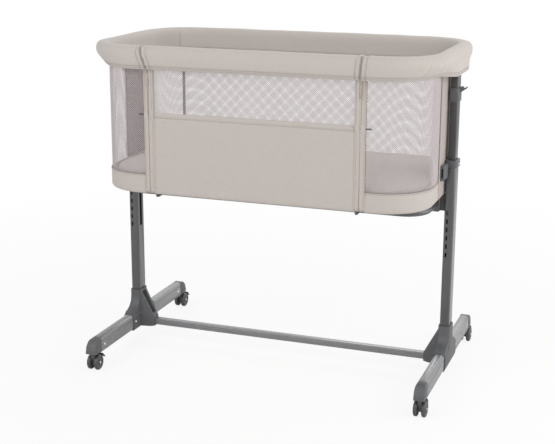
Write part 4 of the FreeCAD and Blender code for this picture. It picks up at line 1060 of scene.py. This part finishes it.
def screwTree():
    # a domed head with a driver's recess on each point, its axis along X
    tree, given = openTree("domedHeads", "Heads", Places="Geometry", Radius="Float", Rise="Float",
                           Plating="Material")
    disc = addNode(tree, "GeometryNodeMeshCylinder",
                   {"Vertices": screws["sides"], "Fill Segments": 3},
                   {"Radius": given["Radius"], "Depth": given["Rise"]})
    spot = addNode(tree, "GeometryNodeInputPosition")
    apart = addNode(tree, "ShaderNodeSeparateXYZ", links={"Vector": spot}).outputs
    flat = addNode(tree, "ShaderNodeCombineXYZ", links={"X": apart["X"], "Y": apart["Y"]})
    reach = addNode(tree, "ShaderNodeVectorMath", links={0: flat}, operation="LENGTH")
    share = addNode(tree, "ShaderNodeMath", operation="DIVIDE",
                    links={0: reach.outputs["Value"], 1: given["Radius"]})
    drop = addNode(tree, "ShaderNodeFloatCurve", links={"Value": share})
    bend = drop.mapping.curves[0]
    bend.points[0].location, bend.points[1].location = screws["dome"][0], screws["dome"][-1]
    for place in screws["dome"][1:-1]:
        bend.points.new(*place)
    drop.mapping.update()
    high = addNode(tree, "ShaderNodeMath", links={0: drop, 1: given["Rise"]}, operation="MULTIPLY")
    place = addNode(tree, "ShaderNodeCombineXYZ", links={"X": apart["X"], "Y": apart["Y"],
                                                         "Z": high})
    upper = addNode(tree, "FunctionNodeCompare", links={0: apart["Z"]}, operation="GREATER_THAN")
    domed = addNode(tree, "GeometryNodeSetPosition",
                    links={"Geometry": disc, "Selection": upper, "Position": place})
    outward = addNode(tree, "GeometryNodeInputNamedAttribute", {"Name": "outward"},
                      data_type="FLOAT_VECTOR")
    turned = addNode(tree, "FunctionNodeAlignRotationToVector", axis="Z",
                     links={"Vector": outward})
    heads = addNode(tree, "GeometryNodeInstanceOnPoints",
                    links={"Points": given["Places"], "Instance": domed, "Rotation": turned})
    return closeTree(tree, "Heads", heads, given["Plating"])


def buildScrews():
    # one head stands where each of the node's own heads is
    work = bmesh.new()
    work.from_mesh(nodes["stand_screws"].data)
    bmesh.ops.remove_doubles(work, verts=work.verts, dist=easing["merge"])
    seen, places = set(), []
    for first in work.verts:
        heap, island = [] if first in seen else [first], []
        seen.add(first)
        while heap:
            vert = heap.pop()
            island.append(vert.co.copy())
            near = [edge.other_vert(vert) for edge in vert.link_edges]
            heap += [other for other in near if other not in seen]
            seen.update(near)
        if island:
            seat = max((co.x for co in island), key=abs)
            middle = sum(island, Vector()) / len(island)
            places.append(((seat, middle.y, middle.z), (-1 if middle.x > 0 else 1, 0, 0)))
    work.free()
    piece = grown(guidePoints("standScrewHeads", places), screwTree(), Radius=screws["radius"],
                  Rise=screws["rise"], Plating=screwZinc)
    piece.data.set_sharp_from_angle(angle=math.radians(40))
    settle(piece, "stand", "zip_metal", "stand_screws")
    return len(places)


print("screws:", buildScrews())

for body, rows in stitchRows.items():
    sewn = beadsOn(f"stitches_{body}", rows, stitch, sewingThread)
    settle(sewn, body, "wall_cloth")
    print("stitches on", body, len(sewn.data.polygons) // 20)

cameraSet = {"place": (1.0223, -2.94285, 1.2038), "yaw": 0.3433, "pitch": 0.2582, "roll": 0.0042,
             "lens": 76.79}


def placeCamera():
    yaw, pitch, roll = cameraSet["yaw"], cameraSet["pitch"], cameraSet["roll"]
    ahead = Vector((-math.sin(yaw) * math.cos(pitch), math.cos(yaw) * math.cos(pitch),
                    -math.sin(pitch)))
    right = Vector((math.cos(yaw), math.sin(yaw), 0))
    up = right.cross(ahead)
    across = math.cos(roll) * right + math.sin(roll) * up
    above = math.cos(roll) * up - math.sin(roll) * right
    data = bpy.data.cameras.new("studioCamera")
    data.sensor_width, data.lens, data.sensor_fit = 36, cameraSet["lens"], "HORIZONTAL"
    data.clip_end = 50
    camera = placedObject("studioCamera", data)
    axes = Matrix((across, above, -ahead)).transposed().to_4x4()
    camera.matrix_world = Matrix.Translation(cameraSet["place"]) @ axes
    bpy.context.scene.camera = camera


light = {"world": 0.48, "floor": "f4f3f2", "floorHalf": 14, "nearFloor": 0.86, "fade": (0.9, 2.2),
         "aim": (0, 0, 0.5),
         "lamps": [("keyPanel", (-1.4, -2.6, 2.4), 2.4, 41), ("fillPanel", (2.2, -1.8, 1.8), 1.8, 20),
                   ("sidePanel", (3.0, 0.4, 1.4), 2.2, 32), ("backPanel", (0.2, 2.4, 2.4), 2.0, 24)]}


def lightStudio():
    world = bpy.data.worlds.new("softStudio")
    bpy.context.scene.world = world
    tree = emptyTree(world)
    ray = addNode(tree, "ShaderNodeLightPath").outputs
    seen = addNode(tree, "ShaderNodeMath", operation="MAXIMUM",
                   links={0: ray["Is Camera Ray"], 1: ray["Is Glossy Ray"]})
    through = addNode(tree, "ShaderNodeMath", operation="MAXIMUM",
                      links={0: seen, 1: ray["Is Transmission Ray"]})
    dim, white = [addNode(tree, "ShaderNodeBackground", {"Color": (1, 1, 1, 1), "Strength": glow})
                  for glow in (light["world"], 1.0)]
    both = addNode(tree, "ShaderNodeMixShader", links={0: through, 1: dim, 2: white})
    addNode(tree, "ShaderNodeOutputWorld", links={"Surface": both})
    for name, place, size, power in light["lamps"]:
        data = bpy.data.lights.new(name, "AREA")
        data.size, data.energy = size, power
        lamp = placedObject(name, data)
        lamp.location = place
        aim = Vector(light["aim"]) - Vector(place)
        lamp.rotation_euler = aim.to_track_quat("-Z", "Y").to_euler()


def layFloor():
    # matt and pale; away from the object the camera sees it fade to white
    material = bpy.data.materials.new("mattPaleFloor")
    tree = emptyTree(material)
    ray = addNode(tree, "ShaderNodeLightPath").outputs
    spots = addNode(tree, "ShaderNodeTexCoord").outputs["Object"]
    away = addNode(tree, "ShaderNodeVectorMath", links={0: spots}, operation="LENGTH")
    near, far = light["fade"]
    fade = addNode(tree, "ShaderNodeMapRange", {"From Min": near, "From Max": far,
                                                "To Min": light["nearFloor"], "To Max": 1.0},
                   {"Value": away.outputs["Value"]})
    seen = addNode(tree, "ShaderNodeMath", links={0: ray["Is Camera Ray"], 1: fade},
                   operation="MULTIPLY")
    matt = addNode(tree, "ShaderNodeBsdfDiffuse", {"Color": hexColour(light["floor"])})
    glow = addNode(tree, "ShaderNodeEmission", {"Color": (1, 1, 1, 1), "Strength": 1.0})
    both = addNode(tree, "ShaderNodeMixShader", links={0: seen, 1: matt, 2: glow})
    addNode(tree, "ShaderNodeOutputMaterial", links={"Surface": both})
    half = light["floorHalf"]
    floor = meshPiece("studioFloor", [(-half, -half, 0), (half, -half, 0), (half, half, 0),
                                      (-half, half, 0)], [(0, 1, 2, 3)], material, smooth=False)


placeCamera()
lightStudio()
layFloor()
bpy.context.scene.view_settings.view_transform = "Standard"
print("studio")
